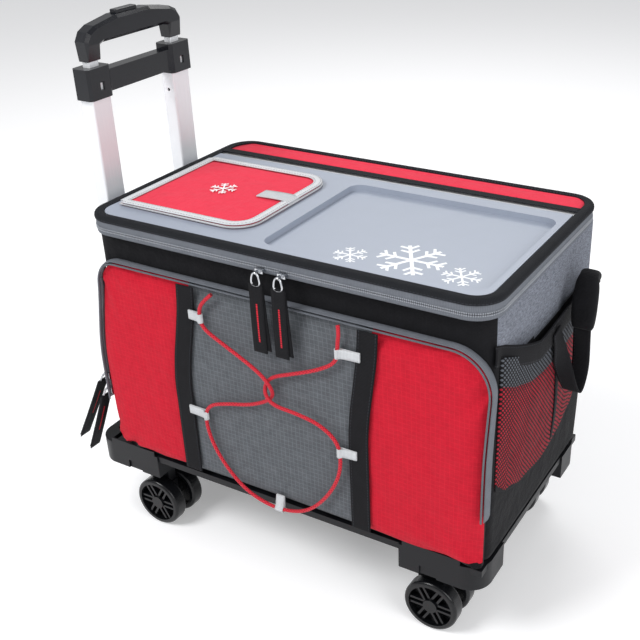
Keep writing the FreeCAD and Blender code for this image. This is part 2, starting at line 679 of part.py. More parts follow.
def make_casters():
    for x_name, x_rule in (("left", "caster_left"), ("right", "caster_right")):
        for y_name, y_rule in (("front", "caster_front"), ("rear", "caster_rear")):
            corner = f"{y_name}_{x_name}"
            make_fork(f"{corner}_fork", x_rule, y_rule)
            half = "(plate_thick / 2 + wheel_gap + wheel_wide - 3.2)"
            axle = rod(f"{corner}_axle", "axle / 2", f"2 * {half}", Vector())
            node_of(f"{corner}_axle", axle)
            axle.Placement = Placement(
                Vector(bag_x + amount(f"{x_rule} + trail"), bag_y + amount(f"{y_rule} - {half}"),
                       amount("wheel_radius")), Rotation(Vector(0, 0, 1), Vector(0, 1, 0)))
            reach = "(plate_thick / 2 + wheel_gap)"
            make_wheel(f"{corner}_wheel_a", f"{x_rule} + trail", f"{y_rule} - {reach}", Rotation(Vector(1, 0, 0), 90))
            make_wheel(f"{corner}_wheel_b", f"{x_rule} + trail", f"{y_rule} + {reach}", Rotation(Vector(1, 0, 0), -90))


# ---------------------------------------------------------------- trolley handle

def make_tubes():
    for name, sign in (("front", -1), ("rear", 1)):
        y = f"({sign} * tube_y)"
        outer = slab(f"{name}_outer_tube", "tube_x - tube_thick / 2", "tube_x + tube_thick / 2",
                     f"{y} - tube_wide / 2", f"{y} + tube_wide / 2", "tube_foot", "tube_top", 2.5)
        half_x, half_y = "(tube_thick / 2 - tube_wall)", "(tube_wide / 2 - tube_wall)"
        hollow(outer, f"tube_x - {half_x}", f"tube_x + {half_x}", f"{y} - {half_y}", f"{y} + {half_y}", -1, 1)
        hole = sketch_on(outer, "XZ_Plane", f"-{sign} * (tube_y - 11)")
        circle(hole, 2, "tube_x", "484 - tube_foot")
        extrude(outer, hole, 6, cut=True, back=sign > 0)

        thin_x, thin_y = "(inner_thick / 2)", "(inner_wide / 2)"
        inner = slab(f"{name}_inner_tube", f"tube_x - {thin_x}", f"tube_x + {thin_x}",
                     f"{y} - {thin_y}", f"{y} + {thin_y}", "inner_foot", "inner_top", 1.5)
        shoe = rectangle(sketch_on(inner), f"tube_x - {half_x} + inner_play", f"tube_x + {half_x} - inner_play",
                         f"{y} - {half_y} + inner_play", f"{y} + {half_y} - inner_play")
        extrude(inner, shoe, 24)
        hollow(inner, f"tube_x - {thin_x} + inner_wall", f"tube_x + {thin_x} - inner_wall",
               f"{y} - {thin_y} + inner_wall", f"{y} + {thin_y} - inner_wall", -1)


def make_yoke():
    """Two sockets over the outer tubes, joined by a lower, thinner bar."""
    body = sub_part("PartDesign::Body", "yoke")
    wide, thin = "yoke_thick / 2", "bar_thick / 2"
    near, end = "yoke_half - socket_wide", "yoke_half"
    right_side = [(f"tube_x + {thin}", f"-({near}) + 6"), (f"tube_x + {thin}", f"{near} - 6"),
                  (f"tube_x + {wide}", near), (f"tube_x + {wide}", f"{end} - 3"), (f"tube_x + {wide} - 3", end)]
    left_side = [(f"tube_x - {wide} + 3", end), (f"tube_x - {wide}", f"{end} - 3"), (f"tube_x - {wide}", near),
                 (f"tube_x - {thin}", f"{near} - 6"), (f"tube_x - {thin}", f"-({near}) + 6"),
                 (f"tube_x - {wide}", f"-({near})"), (f"tube_x - {wide}", f"-({end}) + 3"),
                 (f"tube_x - {wide} + 3", f"-({end})"), (f"tube_x + {wide} - 3", f"-({end})"),
                 (f"tube_x + {wide}", f"-({end}) + 3"), (f"tube_x + {wide}", f"-({near})")]
    extrude(body, outline(sketch_on(body), right_side + left_side), "yoke_top - yoke_bottom")
    hollow(body, f"tube_x - {wide} - 1", f"tube_x + {wide} + 1", f"-({near}) + 4", f"{near} - 4",
           "yoke_top - yoke_bottom - 6")
    lower = rectangle(sketch_on(body), f"tube_x - {wide} - 1", f"tube_x + {wide} + 1",
                      f"-({near}) + 4", f"{near} - 4")
    extrude(body, lower, 3.5, cut=True, back=True)
    for sign in (-1, 1):
        y = f"({sign} * tube_y)"
        socket = rectangle(sketch_on(body), "tube_x - tube_thick / 2 - slip", "tube_x + tube_thick / 2 + slip",
                           f"{y} - tube_wide / 2 - slip", f"{y} + tube_wide / 2 + slip")
        extrude(body, socket, "tube_top - yoke_bottom + slip", cut=True, back=True)
        hollow(body, "tube_x - inner_thick / 2 - 0.5", "tube_x + inner_thick / 2 + 0.5",
               f"{y} - inner_wide / 2 - 0.5", f"{y} + inner_wide / 2 + 0.5", 5)
        slot = sketch_on(body, "YZ_Plane", "tube_x + tube_thick / 2 + slip")
        rectangle(slot, f"{y} - 2", f"{y} + 4", 9, 17.5)
        extrude(body, slot, 20, cut=True, back=True)
    put(body, z="yoke_bottom")


def make_grip():
    """An arched grip on two tapered legs, with a button pocket and a channel for the rods."""
    body = sub_part("PartDesign::Body", "grip")
    half = [(0, 41), (26, 40.5), (60, 35), (71, 30), (77, 21), (75, 0), (57, 0), (55, 14.5), (50, 16.5), (0, 17)]
    across = half[1:-1] + [(-y, z) for y, z in reversed(half[1:-1])]
    extrude(body, outline(sketch_on(body, "YZ_Plane"), across), "grip_thick", middle=True)
    face = amount("grip_thick / 2")
    bevel(body, "grip_thick / 6", lambda edge: abs(abs(edge.BoundBox.Center.x) - face) < 1e-4
          and edge.BoundBox.ZMax > 1)
    taper = sketch_on(body, "XZ_Plane", 90)
    for side in (-1, 1):
        outline(taper, [(f"{side} * 6.5", -1), (f"{side} * 12", -1), (f"{side} * 12", 27), (f"{side} * 6.5", 0)])
    extrude(body, taper, 180, cut=True)
    hollow(body, "-button_wide / 2 - button_play", "button_wide / 2 + button_play",
           "-6 - button_long / 2 - button_play", "-6 + button_long / 2 + button_play", 25.4)
    channel = rectangle(sketch_on(body, lift=21), -3.5, 3.5, "-tube_y - 4", "tube_y + 4")
    extrude(body, channel, 8.5, cut=True, back=True)
    for sign in (-1, 1):
        y = f"({sign} * tube_y)"
        leg = circle(sketch_on(body), "rod / 2 + 1", 0, y)
        extrude(body, leg, 24, cut=True, back=True)
        socket = rectangle(sketch_on(body), "-inner_thick / 2 - 0.2", "inner_thick / 2 + 0.2",
                           f"{y} - inner_wide / 2 - 0.2", f"{y} + inner_wide / 2 + 0.2")
        extrude(body, socket, "inner_top - grip_foot + slip", cut=True, back=True)
    put(body, "tube_x", 0, "grip_foot")

    button = slab("grip_button", "tube_x - button_wide / 2", "tube_x + button_wide / 2",
                  "-6 - button_long / 2", "-6 + button_long / 2", "grip_foot + 28.2", "grip_foot + 44.5", 2.5)
    soften(button, 1.2, lambda edge: edge.BoundBox.ZMin > amount("16"))

    bar = block("rod_bar", "tube_x - rod / 2", "tube_x + rod / 2", "-tube_y - rod / 2", "tube_y + rod / 2",
                "grip_foot + 24", "grip_foot + 28")
    rods = [bar]
    for name, sign in (("front", -1), ("rear", 1)):
        foot = Vector(amount("tube_x"), sign * amount("tube_y"), amount("inner_foot + 15"))
        rods.append(rod(f"rod_{name}", "rod / 2", "grip_foot + 26 - inner_foot - 15", foot))
    node_of("lock_rods", fused("lock_rods", rods))


# ---------------------------------------------------------------- zipper sliders and pulls

PULL_LONG = 86


def make_pull(label, x, y, z, long, turn=None):
    """A metal link and a webbing tab that hang from a slider, thin along local Y."""
    link = block(f"{label}_link", -3.5, 3.5, -0.7, 0.7, -22, 0.4)
    tab = block(f"{label}_tab", -7, 7, -0.8, 0.8, -long, -20)
    node_of(label, fused(f"{label}_whole", [link, tab]))
    put(parts[-1], x, y, z, turn)


def make_lid_slider(name, x):
    face = "(lid_depth / 2)"
    body = block(f"{name}_body", x - 4.5, x + 4.5, f"-{face} - 4.4", f"-{face} + 0.8",
                 "seam_height - 4.5", "seam_height - slip")
    bail = block(f"{name}_bail", x - 2, x + 2, f"-{face} - 9.6", f"-{face} - 4.2",
                 "seam_height - 3.6", "seam_height - 0.8")
    node_of(f"lid_slider_{name}", fused(f"lid_slider_{name}", [body, bail]))
    make_pull(f"lid_pull_{name}", x, f"-{face} - 10.9", "seam_height - 2", PULL_LONG)


def make_pocket_slider(name, z, tilt, long):
    edge = "(pocket_half + slip + zip_thick)"
    middle = "(bag_front + 0.4 + zip_wide / 2)"
    body = block(f"{name}_body", f"-{edge} - 4.8", f"-{edge} - slip", f"-{middle} - 4.5", f"-{middle} + 4.5",
                 z - 4, z + 4)
    bail = block(f"{name}_bail", f"-{edge} - 9.2", f"-{edge} - 4.6", f"-{middle} - 2", f"-{middle} + 2",
                 z - 1.8, z + 1.8)
    node_of(f"pocket_slider_{name}", fused(f"pocket_slider_{name}", [body, bail]))
    turn = Rotation(Vector(0, 1, 0), tilt).multiply(Rotation(Vector(0, 0, 1), 90))
    make_pull(f"pocket_pull_{name}", f"-{edge} - 10.6", f"-{middle}", z, long, turn)


def make_sliders():
    make_lid_slider("left", -6)
    make_lid_slider("right", 20)
    make_pocket_slider("upper", 199, 28, 116)
    make_pocket_slider("lower", 179, 23, 104)


# ---------------------------------------------------------------- the whole object

def export():
    """Checks every object and writes each sub-part to its own file."""
    doc.recompute()
    for item in doc.Objects:
        if "Invalid" in item.State or "Error" in item.State:
            raise RuntimeError(f"{item.Label} failed: {item.State}")
    for part in parts:
        if part.Shape.isNull() or not part.Shape.isValid():
            raise RuntimeError(f"{part.Label} has no valid shape")
        part.Shape.exportStep(f"parts/{part.Label}.step")
    whole = Part.makeCompound([part.Shape for part in parts]).optimalBoundingBox(False, False)
    print("%d nodes, x %.1f to %.1f, y %.1f to %.1f, z %.1f to %.1f"
          % (len(parts), whole.XMin, whole.XMax, whole.YMin, whole.YMax, whole.ZMin, whole.ZMax))


make_bag()
make_lid()
make_front_pocket()
make_cord_loops()
make_bungee_cord()
make_side()
make_carry_handle()
make_base()
make_casters()
make_tubes()
make_yoke()
make_grip()
make_sliders()
export()
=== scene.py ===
import json
import math

import bmesh
import bpy
from mathutils import Matrix, Vector, noise


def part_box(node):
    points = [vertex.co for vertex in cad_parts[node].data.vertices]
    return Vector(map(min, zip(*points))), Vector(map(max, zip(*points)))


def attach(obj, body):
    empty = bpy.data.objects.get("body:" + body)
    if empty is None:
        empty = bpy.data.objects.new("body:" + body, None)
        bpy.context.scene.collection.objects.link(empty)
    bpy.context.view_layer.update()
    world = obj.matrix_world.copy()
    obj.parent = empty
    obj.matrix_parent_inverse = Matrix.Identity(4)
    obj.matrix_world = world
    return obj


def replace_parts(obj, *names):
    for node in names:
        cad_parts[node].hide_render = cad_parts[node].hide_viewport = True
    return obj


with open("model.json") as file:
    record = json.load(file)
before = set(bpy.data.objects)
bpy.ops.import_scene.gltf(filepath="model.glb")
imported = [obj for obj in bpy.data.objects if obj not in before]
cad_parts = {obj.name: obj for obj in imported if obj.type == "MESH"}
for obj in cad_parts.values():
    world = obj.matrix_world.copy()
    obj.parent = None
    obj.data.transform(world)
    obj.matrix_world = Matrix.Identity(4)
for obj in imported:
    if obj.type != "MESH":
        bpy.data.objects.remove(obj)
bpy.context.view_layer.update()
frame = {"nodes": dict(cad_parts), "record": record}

RIGHT, BACK, UP = Vector((1, 0, 0)), Vector((0, 1, 0)), Vector((0, 0, 1))

# The bag is laid out in millimetres from the middle of its lid, with heights from the floor.
lid_low, lid_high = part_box("lid_binding")
LID_MIDDLE = Vector(((lid_low.x + lid_high.x) / 2, (lid_low.y + lid_high.y) / 2, 0))


def at(x, y, z):
    """A point in the frame, from millimetres counted from the middle of the lid and the floor."""
    return LID_MIDDLE + Vector((x, y, z)) / 1000


# ---------------------------------------------------------------- finishes

def linear(hex_colour):
    """An sRGB hex colour as the linear values that a shader wants."""
    values = [int(hex_colour[i:i + 2], 16) / 255 for i in (1, 3, 5)]
    return (*[v / 12.92 if v <= 0.04045 else ((v + 0.055) / 1.055) ** 2.4 for v in values], 1)


def add_node(material, kind, settings=None, **links):
    """Adds one shader node. A link is a constant, an output socket or another node's first output."""
    made = material.node_tree.nodes.new(kind)
    for name, value in (settings or {}).items():
        setattr(made, name, value)
    for name, value in links.items():
        socket = made.inputs[int(name[1:])] if name[0] == "_" else made.inputs[name.replace("_", " ")]
        if isinstance(value, bpy.types.Node):
            value = value.outputs[0]
        if isinstance(value, bpy.types.NodeSocket):
            material.node_tree.links.new(value, socket)
        else:
            socket.default_value = value
    return made


def maths(material, operation, a, b=0.0, c=0.0):
    return add_node(material, "ShaderNodeMath", {"operation": operation}, _0=a, _1=b, _2=c)


def tint(material, share, dark, light):
    """Mixes two hex colours, or colour sockets, by a share from 0 to 1."""
    ends = [linear(end) if isinstance(end, str) else end for end in (dark, light)]
    mixed = add_node(material, "ShaderNodeMix", {"data_type": "RGBA"}, _0=share, _6=ends[0], _7=ends[1])
    return mixed.outputs[2]


def finish_named(name, **shader):
    """A new material and its principled shader, with these settings."""
    material = bpy.data.materials.new(name)
    material.use_nodes = True
    surface = material.node_tree.nodes["Principled BSDF"]
    for key, value in shader.items():
        surface.inputs[key.replace("_", " ")].default_value = value
    return material, surface


def place_mm(material, flat=False):
    """Object coordinates in millimetres, or the piece's own flat coordinates where a weave follows it."""
    source = add_node(material, "ShaderNodeTexCoord").outputs["UV" if flat else "Object"]
    return add_node(material, "ShaderNodeVectorMath", {"operation": "SCALE"}, _0=source, _3=1000.0)


def blotches(material, place, across_mm, detail=3.0, rough=0.5):
    """Smooth noise whose blotches are about this many millimetres across."""
    return add_node(material, "ShaderNodeTexNoise", None, Vector=place, Scale=1 / across_mm,
                    Detail=detail, Roughness=rough).outputs[0]


def bumped(material, surface, height, depth_mm, onto=None):
    """Raises the surface by a height pattern, this many millimetres deep at most."""
    bump = add_node(material, "ShaderNodeBump", None, Strength=1.0, Distance=depth_mm / 1000, Height=height)
    if onto:
        material.node_tree.links.new(onto.outputs[0], bump.inputs["Normal"])
    material.node_tree.links.new(bump.outputs[0], surface.inputs["Normal"])
    return bump


def wave(material, value, pitch_mm):
    """A smooth wave between 0 and 1 with this pitch."""
    turned = maths(material, "SINE", maths(material, "MULTIPLY", value, 2 * math.pi / pitch_mm))
    return maths(material, "MULTIPLY_ADD", turned, 0.5, 0.5)


def split_place(material, place):
    return add_node(material, "ShaderNodeSeparateXYZ", None, _0=place).outputs


def wall_pair(material, place):
    """Two coordinates that run along any upright or level wall: sideways and upwards."""
    x, y, z = split_place(material, place)
    return maths(material, "ADD", x, y), maths(material, "ADD", z, maths(material, "MULTIPLY", y, 0.35))


def woven(name, dark, light, thread_mm, ripstop_mm=0, grid_shade=0.3, mottle=0.35):
    """Plain-woven polyester: crossing threads, a soft mottle, and for ripstop a raised square grid.
    Thread crowns and the raised grid threads are painted lighter, as painted highlights.
    The dyed threads scatter light, so the cloth looks matt and its creases show as soft shade."""
    material, surface = finish_named(name, Roughness=0.85, Sheen_Weight=0.03, Specular_IOR_Level=0.15)
    place = place_mm(material)
    u, v = wall_pair(material, place)
    weave = maths(material, "MULTIPLY", wave(material, u, thread_mm), wave(material, v, thread_mm))
    height = weave
    # Thread crowns are painted lighter than the hollows between them: a painted highlight, laid over a mottle
    # of real tone.
    shade = maths(material, "ADD", maths(material, "MULTIPLY", weave, 0.35),
                  maths(material, "MULTIPLY", blotches(material, place, 9.0, 5.0, 0.6), 2 * mottle))
    if ripstop_mm:
        ribs = [maths(material, "POWER", wave(material, axis, ripstop_mm), 30.0) for axis in (u, v)]
        grid = maths(material, "MAXIMUM", *ribs)
        # The proud grid threads are painted lighter: a painted highlight, broken into dashes by noise.
        lit_grid_and_lining_share = maths(material, "MULTIPLY", grid, blotches(material, place, 1.6, 2.0))
        shade = maths(material, "MULTIPLY_ADD", lit_grid_and_lining_share, 2 * grid_shade, shade)
        height = maths(material, "MULTIPLY_ADD", grid, 0.35, weave)
    colour = tint(material, shade, dark, light)
    material.node_tree.links.new(colour, surface.inputs["Base Color"])
    creases = bumped(material, surface, blotches(material, place, 34.0, 4.0, 0.55), 5.0)
    bumped(material, surface, height, 0.18, onto=creases)
    return material


def heathered(name, dark, light):
    """Melange polyester: pale and dark fibres lie in short level streaks over a fine weave.
    From a step away they give a speckled mid grey."""
    material, surface = finish_named(name, Roughness=0.92, Sheen_Weight=0.05, Specular_IOR_Level=0.15)
    place = place_mm(material)
    streaky = add_node(material, "ShaderNodeMapping", None, Vector=place, Scale=(0.35, 0.35, 1.6))
    streaks = blotches(material, streaky, 1.5, 4.0, 0.75)
    sharp = add_node(material, "ShaderNodeMapRange", None, _0=streaks, _1=0.36, _2=0.62)
    material.node_tree.links.new(tint(material, sharp, dark, light), surface.inputs["Base Color"])
    creases = bumped(material, surface, blotches(material, place, 60.0, 3.0), 5.0)
    u, v = wall_pair(material, place)
    bumped(material, surface, maths(material, "MULTIPLY", wave(material, u, 1.4), wave(material, v, 1.4)),
           0.15, onto=creases)
    return material


def webbing(name, dark, light, wide_mm, stitched=True, stripe=None, thread="#5a5c62"):
    """Woven tape: ribs run across it every 1.5 mm, and a row of stitches lies near each edge.
    A stripe is its colour, its middle and half width across, and its middle and half length along."""
    material, surface = finish_named(name, Roughness=0.78, Sheen_Weight=0.0, Specular_IOR_Level=0.18)
    place = place_mm(material, flat=True)
    u, v, _ = split_place(material, place)
    ribs = wave(material, u, 1.5)
    cross = wave(material, maths(material, "ADD", v, maths(material, "MULTIPLY", ribs, 0.4)), 1.1)
    weave = maths(material, "MULTIPLY", ribs, cross)
    # The crown of each rib is painted lighter than its sides: a painted sheen.
    shade = maths(material, "MULTIPLY_ADD", blotches(material, place, 14.0), 0.5, weave)
    colour = tint(material, shade, dark, light)
    height = weave
    if stripe:
        hue, middle, half, from_end, half_long = stripe
        inside = maths(material, "MULTIPLY", maths(material, "COMPARE", v, middle, half),
                       maths(material, "COMPARE", u, from_end, half_long))
        broken = maths(material, "GREATER_THAN", wave(material, u, 2.6), 0.12)
        colour = tint(material, maths(material, "MULTIPLY", inside, broken), colour, hue)
    if stitched:
        near = maths(material, "MINIMUM", v, maths(material, "SUBTRACT", wide_mm, v))
        row = maths(material, "COMPARE", near, 1.9, 0.38)
        dash = maths(material, "GREATER_THAN", wave(material, u, 3.6), 0.28)
        stitch = maths(material, "MULTIPLY", row, dash)
        colour = tint(material, stitch, colour, thread)
        height = maths(material, "MULTIPLY_ADD", stitch, 1.5, weave)
    material.node_tree.links.new(colour, surface.inputs["Base Color"])
    bumped(material, surface, height, 0.22)
    return material


def mesh_fabric(name):
    """Warp-knitted black mesh over a red lining: a slanted net whose holes show the red.
    The holes are drawn 5.6 mm apart, coarser than real ones, so that they show. Towards the mouth the
    net lies over a grey lining instead."""
    material, surface = finish_named(name, Roughness=0.8, Sheen_Weight=0.0, Specular_IOR_Level=0.2)
    place = place_mm(material, flat=True)
    u, v, _ = split_place(material, place)
    slant = maths(material, "ADD", u, v)
    counter = maths(material, "SUBTRACT", u, v)
    holes = maths(material, "MULTIPLY", wave(material, slant, 5.6), wave(material, counter, 5.6))
    open_share = add_node(material, "ShaderNodeMapRange", None, _0=holes, _1=0.12, _2=0.4)
    rise = add_node(material, "ShaderNodeMapRange", None, _0=v, _1=150.0, _2=118.0)
    lit_grid_and_lining_share = maths(material, "MULTIPLY", maths(material, "MULTIPLY", open_share.outputs[0], rise),
                 maths(material, "MULTIPLY_ADD", blotches(material, place, 25.0), 0.7, 0.6))
    upper = maths(material, "GREATER_THAN", v, 126.0)
    net = tint(material, lit_grid_and_lining_share, "#0b0b0e", "#a81c2e")
    top = tint(material, open_share, "#0b0b0e", "#585c63")
    material.node_tree.links.new(tint(material, upper, net, top), surface.inputs["Base Color"])
    inward = maths(material, "SUBTRACT", 1.0, open_share)
    folds = bumped(material, surface, blotches(material, place, 22.0, 3.0), 3.0)
    bumped(material, surface, inward, 0.35, onto=folds)
    return material


def braided(name, dark, light):
    """Braided elastic cord: fine strands cross each other around the core, so it is finely ribbed rather than
    smooth.
    Its satin look is a painted sheen: the strands' crowns are painted light and the grooves between them
    dark, as painted shade."""
    material, surface = finish_named(name, Roughness=0.6, Sheen_Weight=0.05, Specular_IOR_Level=0.3)
    along, around, _ = split_place(material, add_node(material, "ShaderNodeTexCoord").outputs["UV"])
    turns = maths(material, "MULTIPLY", along, 240.0)
    one = wave(material, maths(material, "MULTIPLY_ADD", around, 4.0, turns), 1.0)
    other = wave(material, maths(material, "MULTIPLY_ADD", around, -4.0, turns), 1.0)
    strands = maths(material, "MAXIMUM", one, other)
    # Painted sheen on the strands' crowns and painted shade in the grooves between them.
    material.node_tree.links.new(tint(material, strands, dark, light), surface.inputs["Base Color"])
    bumped(material, surface, strands, 0.25)
    return material


def moulded(name, dark, light, roughness, grain_mm, depth_mm, coat=0.0, shine=0.5):
    """Injection-moulded plastic: a fine spark-eroded grain, with slight wear in the gloss."""
    material, surface = finish_named(name, IOR=1.5, Coat_Weight=coat, Specular_IOR_Level=shine)
    place = place_mm(material)
    grain = blotches(material, place, grain_mm, 2.0)
    wear = blotches(material, place, 28.0, 5.0, 0.65)
    material.node_tree.links.new(tint(material, wear, dark, light), surface.inputs["Base Color"])
    gloss = maths(material, "MULTIPLY_ADD", wear, 0.22, roughness - 0.1)
    material.node_tree.links.new(gloss.outputs[0], surface.inputs["Roughness"])
    bumped(material, surface, grain, depth_mm)
    return material


def metal(name, dark, light, roughness, streak, bare=1.0):
    """Bare, plated or anodised metal: fine streaks along the drawn or brushed way, and a slightly
    uneven gloss. A share below 1 for bare is a coat of oxide over it."""
    material, surface = finish_named(name, Metallic=bare)
    place = place_mm(material)
    stretched = add_node(material, "ShaderNodeMapping", None, Vector=place, Scale=streak)
    lines = blotches(material, stretched, 1.0, 3.0)
    material.node_tree.links.new(tint(material, lines, dark, light), surface.inputs["Base Color"])
    gloss = maths(material, "MULTIPLY_ADD", lines, 0.16, roughness - 0.08)
    material.node_tree.links.new(gloss.outputs[0], surface.inputs["Roughness"])
    bumped(material, surface, lines, 0.02)
    return material


# Polyester dyed right through, woven with a heavier thread every 5 mm. Its raised square grid is painted
# pale: a painted highlight where the heavier thread catches the light.
red_ripstop = woven("red ripstop polyester", "#a80f24", "#d01f34", 1.2, ripstop_mm=5.0, grid_shade=0.35)
plain_red = woven("red plain-woven polyester", "#dc2f46", "#f04a5f", 1.2, mottle=0.25)
grey_ripstop = woven("grey ripstop polyester", "#3e4145", "#6c7075", 1.2, ripstop_mm=5.0, grid_shade=0.5)
black_polyester = woven("black plain-woven polyester", "#0b0b0d", "#1b1b1f", 1.4, mottle=0.3)
heather = heathered("heathered polyester", "#51545d", "#838893")
# Nylon webbing is dyed yarn, so it is matt; the slight sheen on each rib is painted into its colour as a
# lighter crown.
strap_webbing = webbing("black nylon webbing", "#09090b", "#1a1a1e", 22.0, thread="#303238")
pull_webbing = webbing("black nylon webbing with a red line", "#09090b", "#1a1a1e", 16.0, False,
                      stripe=("#cf2636", 8.0, 0.9, 42.0, 21.0))
edge_binding = webbing("black lid binding tape", "#0e0f12", "#24262b", 16.0, thread="#3a3c43")
rim_binding = webbing("black binding tape", "#0b0b0d", "#1c1c20", 6.0, False)
light_webbing = webbing("light grey webbing", "#a9acb0", "#d9dbdd", 10.0, False)
piping_tape = webbing("off-white piping", "#c6c7ca", "#ececee", 6.0, False)
border_tape = webbing("off-white binding tape", "#c2c4c8", "#e6e7e9", 9.5, thread="#9a9ca1")
zip_tape = webbing("grey zipper tape", "#54585e", "#7a7e86", 12.0, False)
elastic_trim = webbing("black gathered elastic", "#0a0a0c", "#1c1c20", 22.0, thread="#303136")
cord_braid = braided("red braided elastic cord", "#700c19", "#cf2034")
pocket_mesh = mesh_fabric("black mesh over red lining")
# The coil is smooth extruded nylon, so each turn has a small highlight. Foam and film show only when the
# lid is open: the foam is chalky, and the welded film has the soft shine of a wrinkled skin.
coil_nylon = moulded("grey nylon coil", "#7c8087", "#a4a8af", 0.4, 2.0, 0.02)
closed_foam = moulded("closed-cell foam", "#d5d7da", "#eceef0", 0.8, 1.2, 0.15)
liner_film = moulded("heat-sealed liner film", "#b9bfc7", "#dfe3e8", 0.35, 18.0, 0.8, coat=0.2)
# Polypropylene and ABS come from etched moulds, which breaks their gloss to satin. The handle's ABS is
# worn smoother by hands, and the wheels are cast in polished moulds, so they shine more.
tray_plastic = moulded("grey satin polypropylene", "#929aa8", "#9fa6b4", 0.42, 0.9, 0.02)
black_abs = moulded("black textured ABS", "#0c0d10", "#15161a", 0.4, 0.7, 0.04, shine=0.25)
smooth_abs = moulded("black satin ABS", "#0e0f14", "#181a20", 0.2, 0.8, 0.015, shine=0.4)
white_print = moulded("white screen print", "#e6e8ea", "#f4f5f6", 0.5, 1.5, 0.01)
wheel_rubber = moulded("black polyurethane wheel", "#08090b", "#121316", 0.24, 1.1, 0.02, shine=0.35)
# Anodising leaves fine pits that scatter light, so the drawn tubes look pale and satin. Nickel plate on
# cast zinc is bright and slightly wavy, and zinc-plated steel is a greyer satin.
tube_aluminium = metal("satin anodised aluminium", "#e2e4e8", "#f4f5f7", 0.5, (2.5, 2.5, 0.02), bare=0.35)
zip_nickel = metal("nickel-plated zinc", "#a5a7ab", "#d8dadd", 0.22, (0.4, 0.4, 0.4))
screw_steel = metal("zinc-plated steel", "#8d9096", "#b9bcc2", 0.35, (0.9, 0.9, 0.9))

finishes = {
    "foam": closed_foam,
    "liner": liner_film,
    "tray_plastic": tray_plastic,
    "black_plastic": black_abs,
    "wheel": wheel_rubber,
    "aluminium": tube_aluminium,
    "zip_metal": zip_nickel,
    "steel": screw_steel,
    "grey_fabric": heather,
    "red_fabric": plain_red,
    "black_fabric": black_polyester,
    "black_webbing": rim_binding,
    "light_trim": light_webbing,
    "grey_zipper": zip_tape,
    "red_cord": cord_braid,
    "red_mesh": pocket_mesh,
}
for part in frame["record"]["subparts"]:
    mesh = frame["nodes"][part["node"]].data
    mesh.materials.clear()
    mesh.materials.append(finishes[part["material_slot"]])
for smooth in ("grip", "grip_button", "yoke"):
    frame["nodes"][smooth].data.materials[0] = smooth_abs


# ---------------------------------------------------------------- sewing tools

def piece(name, bm, material, body, thick=0.0, soft=True):
    """Finishes a bmesh as a piece that rides a body. A thickness makes a sheet of it."""
    mesh = bpy.data.meshes.new(name)
    bm.normal_update()
    bm.to_mesh(mesh)
    bm.free()
    made = bpy.data.objects.new(name, mesh)
    bpy.context.scene.collection.objects.link(made)
    for one in material if isinstance(material, (list, tuple)) else [material]:
        mesh.materials.append(one)
    for face in mesh.polygons:
        face.use_smooth = soft
    if thick:
        wall = made.modifiers.new("thickness", "SOLIDIFY")
        wall.thickness = thick / 1000
        wall.offset = 0.0
        wall.use_even_offset = False
    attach(made, body)
    return made


def sheet(long_mm, wide_mm, steps, rows, place, closed=False):
    """A flat grid laid out by place(u, v) in millimetres, with flat coordinates of its real size.
    u and v run from 0 to 1, along it and across it. A closed one joins its ends."""
    bm = bmesh.new()
    flat = bm.loops.layers.uv.new("flat")
    bmesh.ops.create_grid(bm, x_segments=steps, y_segments=rows, size=0.5)
    for face in bm.faces:
        for loop in face.loops:
            u, v = loop.vert.co.x + 0.5, loop.vert.co.y + 0.5
            loop[flat].uv = (u * long_mm / 1000, v * wide_mm / 1000)
    for vert in bm.verts:
        vert.co = at(*place(vert.co.x + 0.5, vert.co.y + 0.5))
    if closed:
        bmesh.ops.remove_doubles(bm, verts=bm.verts, dist=1e-5)
    return bm


def measured(points):
    """A run of points, and the length walked so far at each."""
    walked = [0.0]
    for a, b in zip(points, points[1:]):
        walked.append(walked[-1] + (b - a).length)
    return points, walked


def spline(points, step=4.0):
    """A smooth line through the points, sampled about every step, with its walked lengths."""
    points = [Vector(p) for p in points]
    last = len(points) - 1
    fine = []
    for i in range(last):
        a, b, c, d = (points[min(max(j, 0), last)] for j in (i - 1, i, i + 1, i + 2))
        parts = max(2, int((c - b).length / step))
        for k in range(parts):
            t = k / parts
            fine.append(0.5 * ((2 * b) + (c - a) * t + (2 * a - 5 * b + 4 * c - d) * t ** 2
                               + (3 * b - a - 3 * c + d) * t ** 3))
    fine.append(points[-1])
    return measured(fine)


def along(line, share):
    """The point and the heading at a share of the whole line."""
    fine, walked = line
    target = min(max(share, 0), 1) * walked[-1]
    i = next((k for k in range(1, len(walked)) if walked[k] >= target), len(walked) - 1)
    span = max(walked[i] - walked[i - 1], 1e-9)
    point = fine[i - 1].lerp(fine[i], (target - walked[i - 1]) / span)
    return point, (fine[i] - fine[i - 1]).normalized()


def rounded_ring(left, right, front, back, corner, steps=8):
    """Corner points of a rounded rectangle seen from above, counter-clockwise from the front left."""
    ring = []
    quarters = ((left + corner, front + corner, 180), (right - corner, front + corner, 270),
                (right - corner, back - corner, 0), (left + corner, back - corner, 90))
    for middle_x, middle_y, start in quarters:
        for k in range(steps + 1):
            angle = math.radians(start + 90 * k / steps)
            ring.append((middle_x + corner * math.cos(angle), middle_y + corner * math.sin(angle)))
    return ring


def walked_ring(ring):
    """The same ring closed, as a straight-run line with its walked lengths."""
    return measured([Vector((x, y, 0)) for x, y in ring + ring[:1]])


def ribbon(name, line, wide, thick, across, material, body, rows=4, step=3.0, crown=0.0):
    """A flat tape along a line. across(heading, share) gives the way its width points."""
    length = line[1][-1]
    steps = max(4, int(length / step))

    def place(u, v):
        point, heading = along(line, u)
        side = Vector(across(heading, u)).normalized()
        up = heading.cross(side).normalized()
        return point + side * wide * (v - 0.5) + up * crown * (1 - (2 * v - 1) ** 2)

    return piece(name, sheet(length, wide, steps, rows, place), material, body, thick)


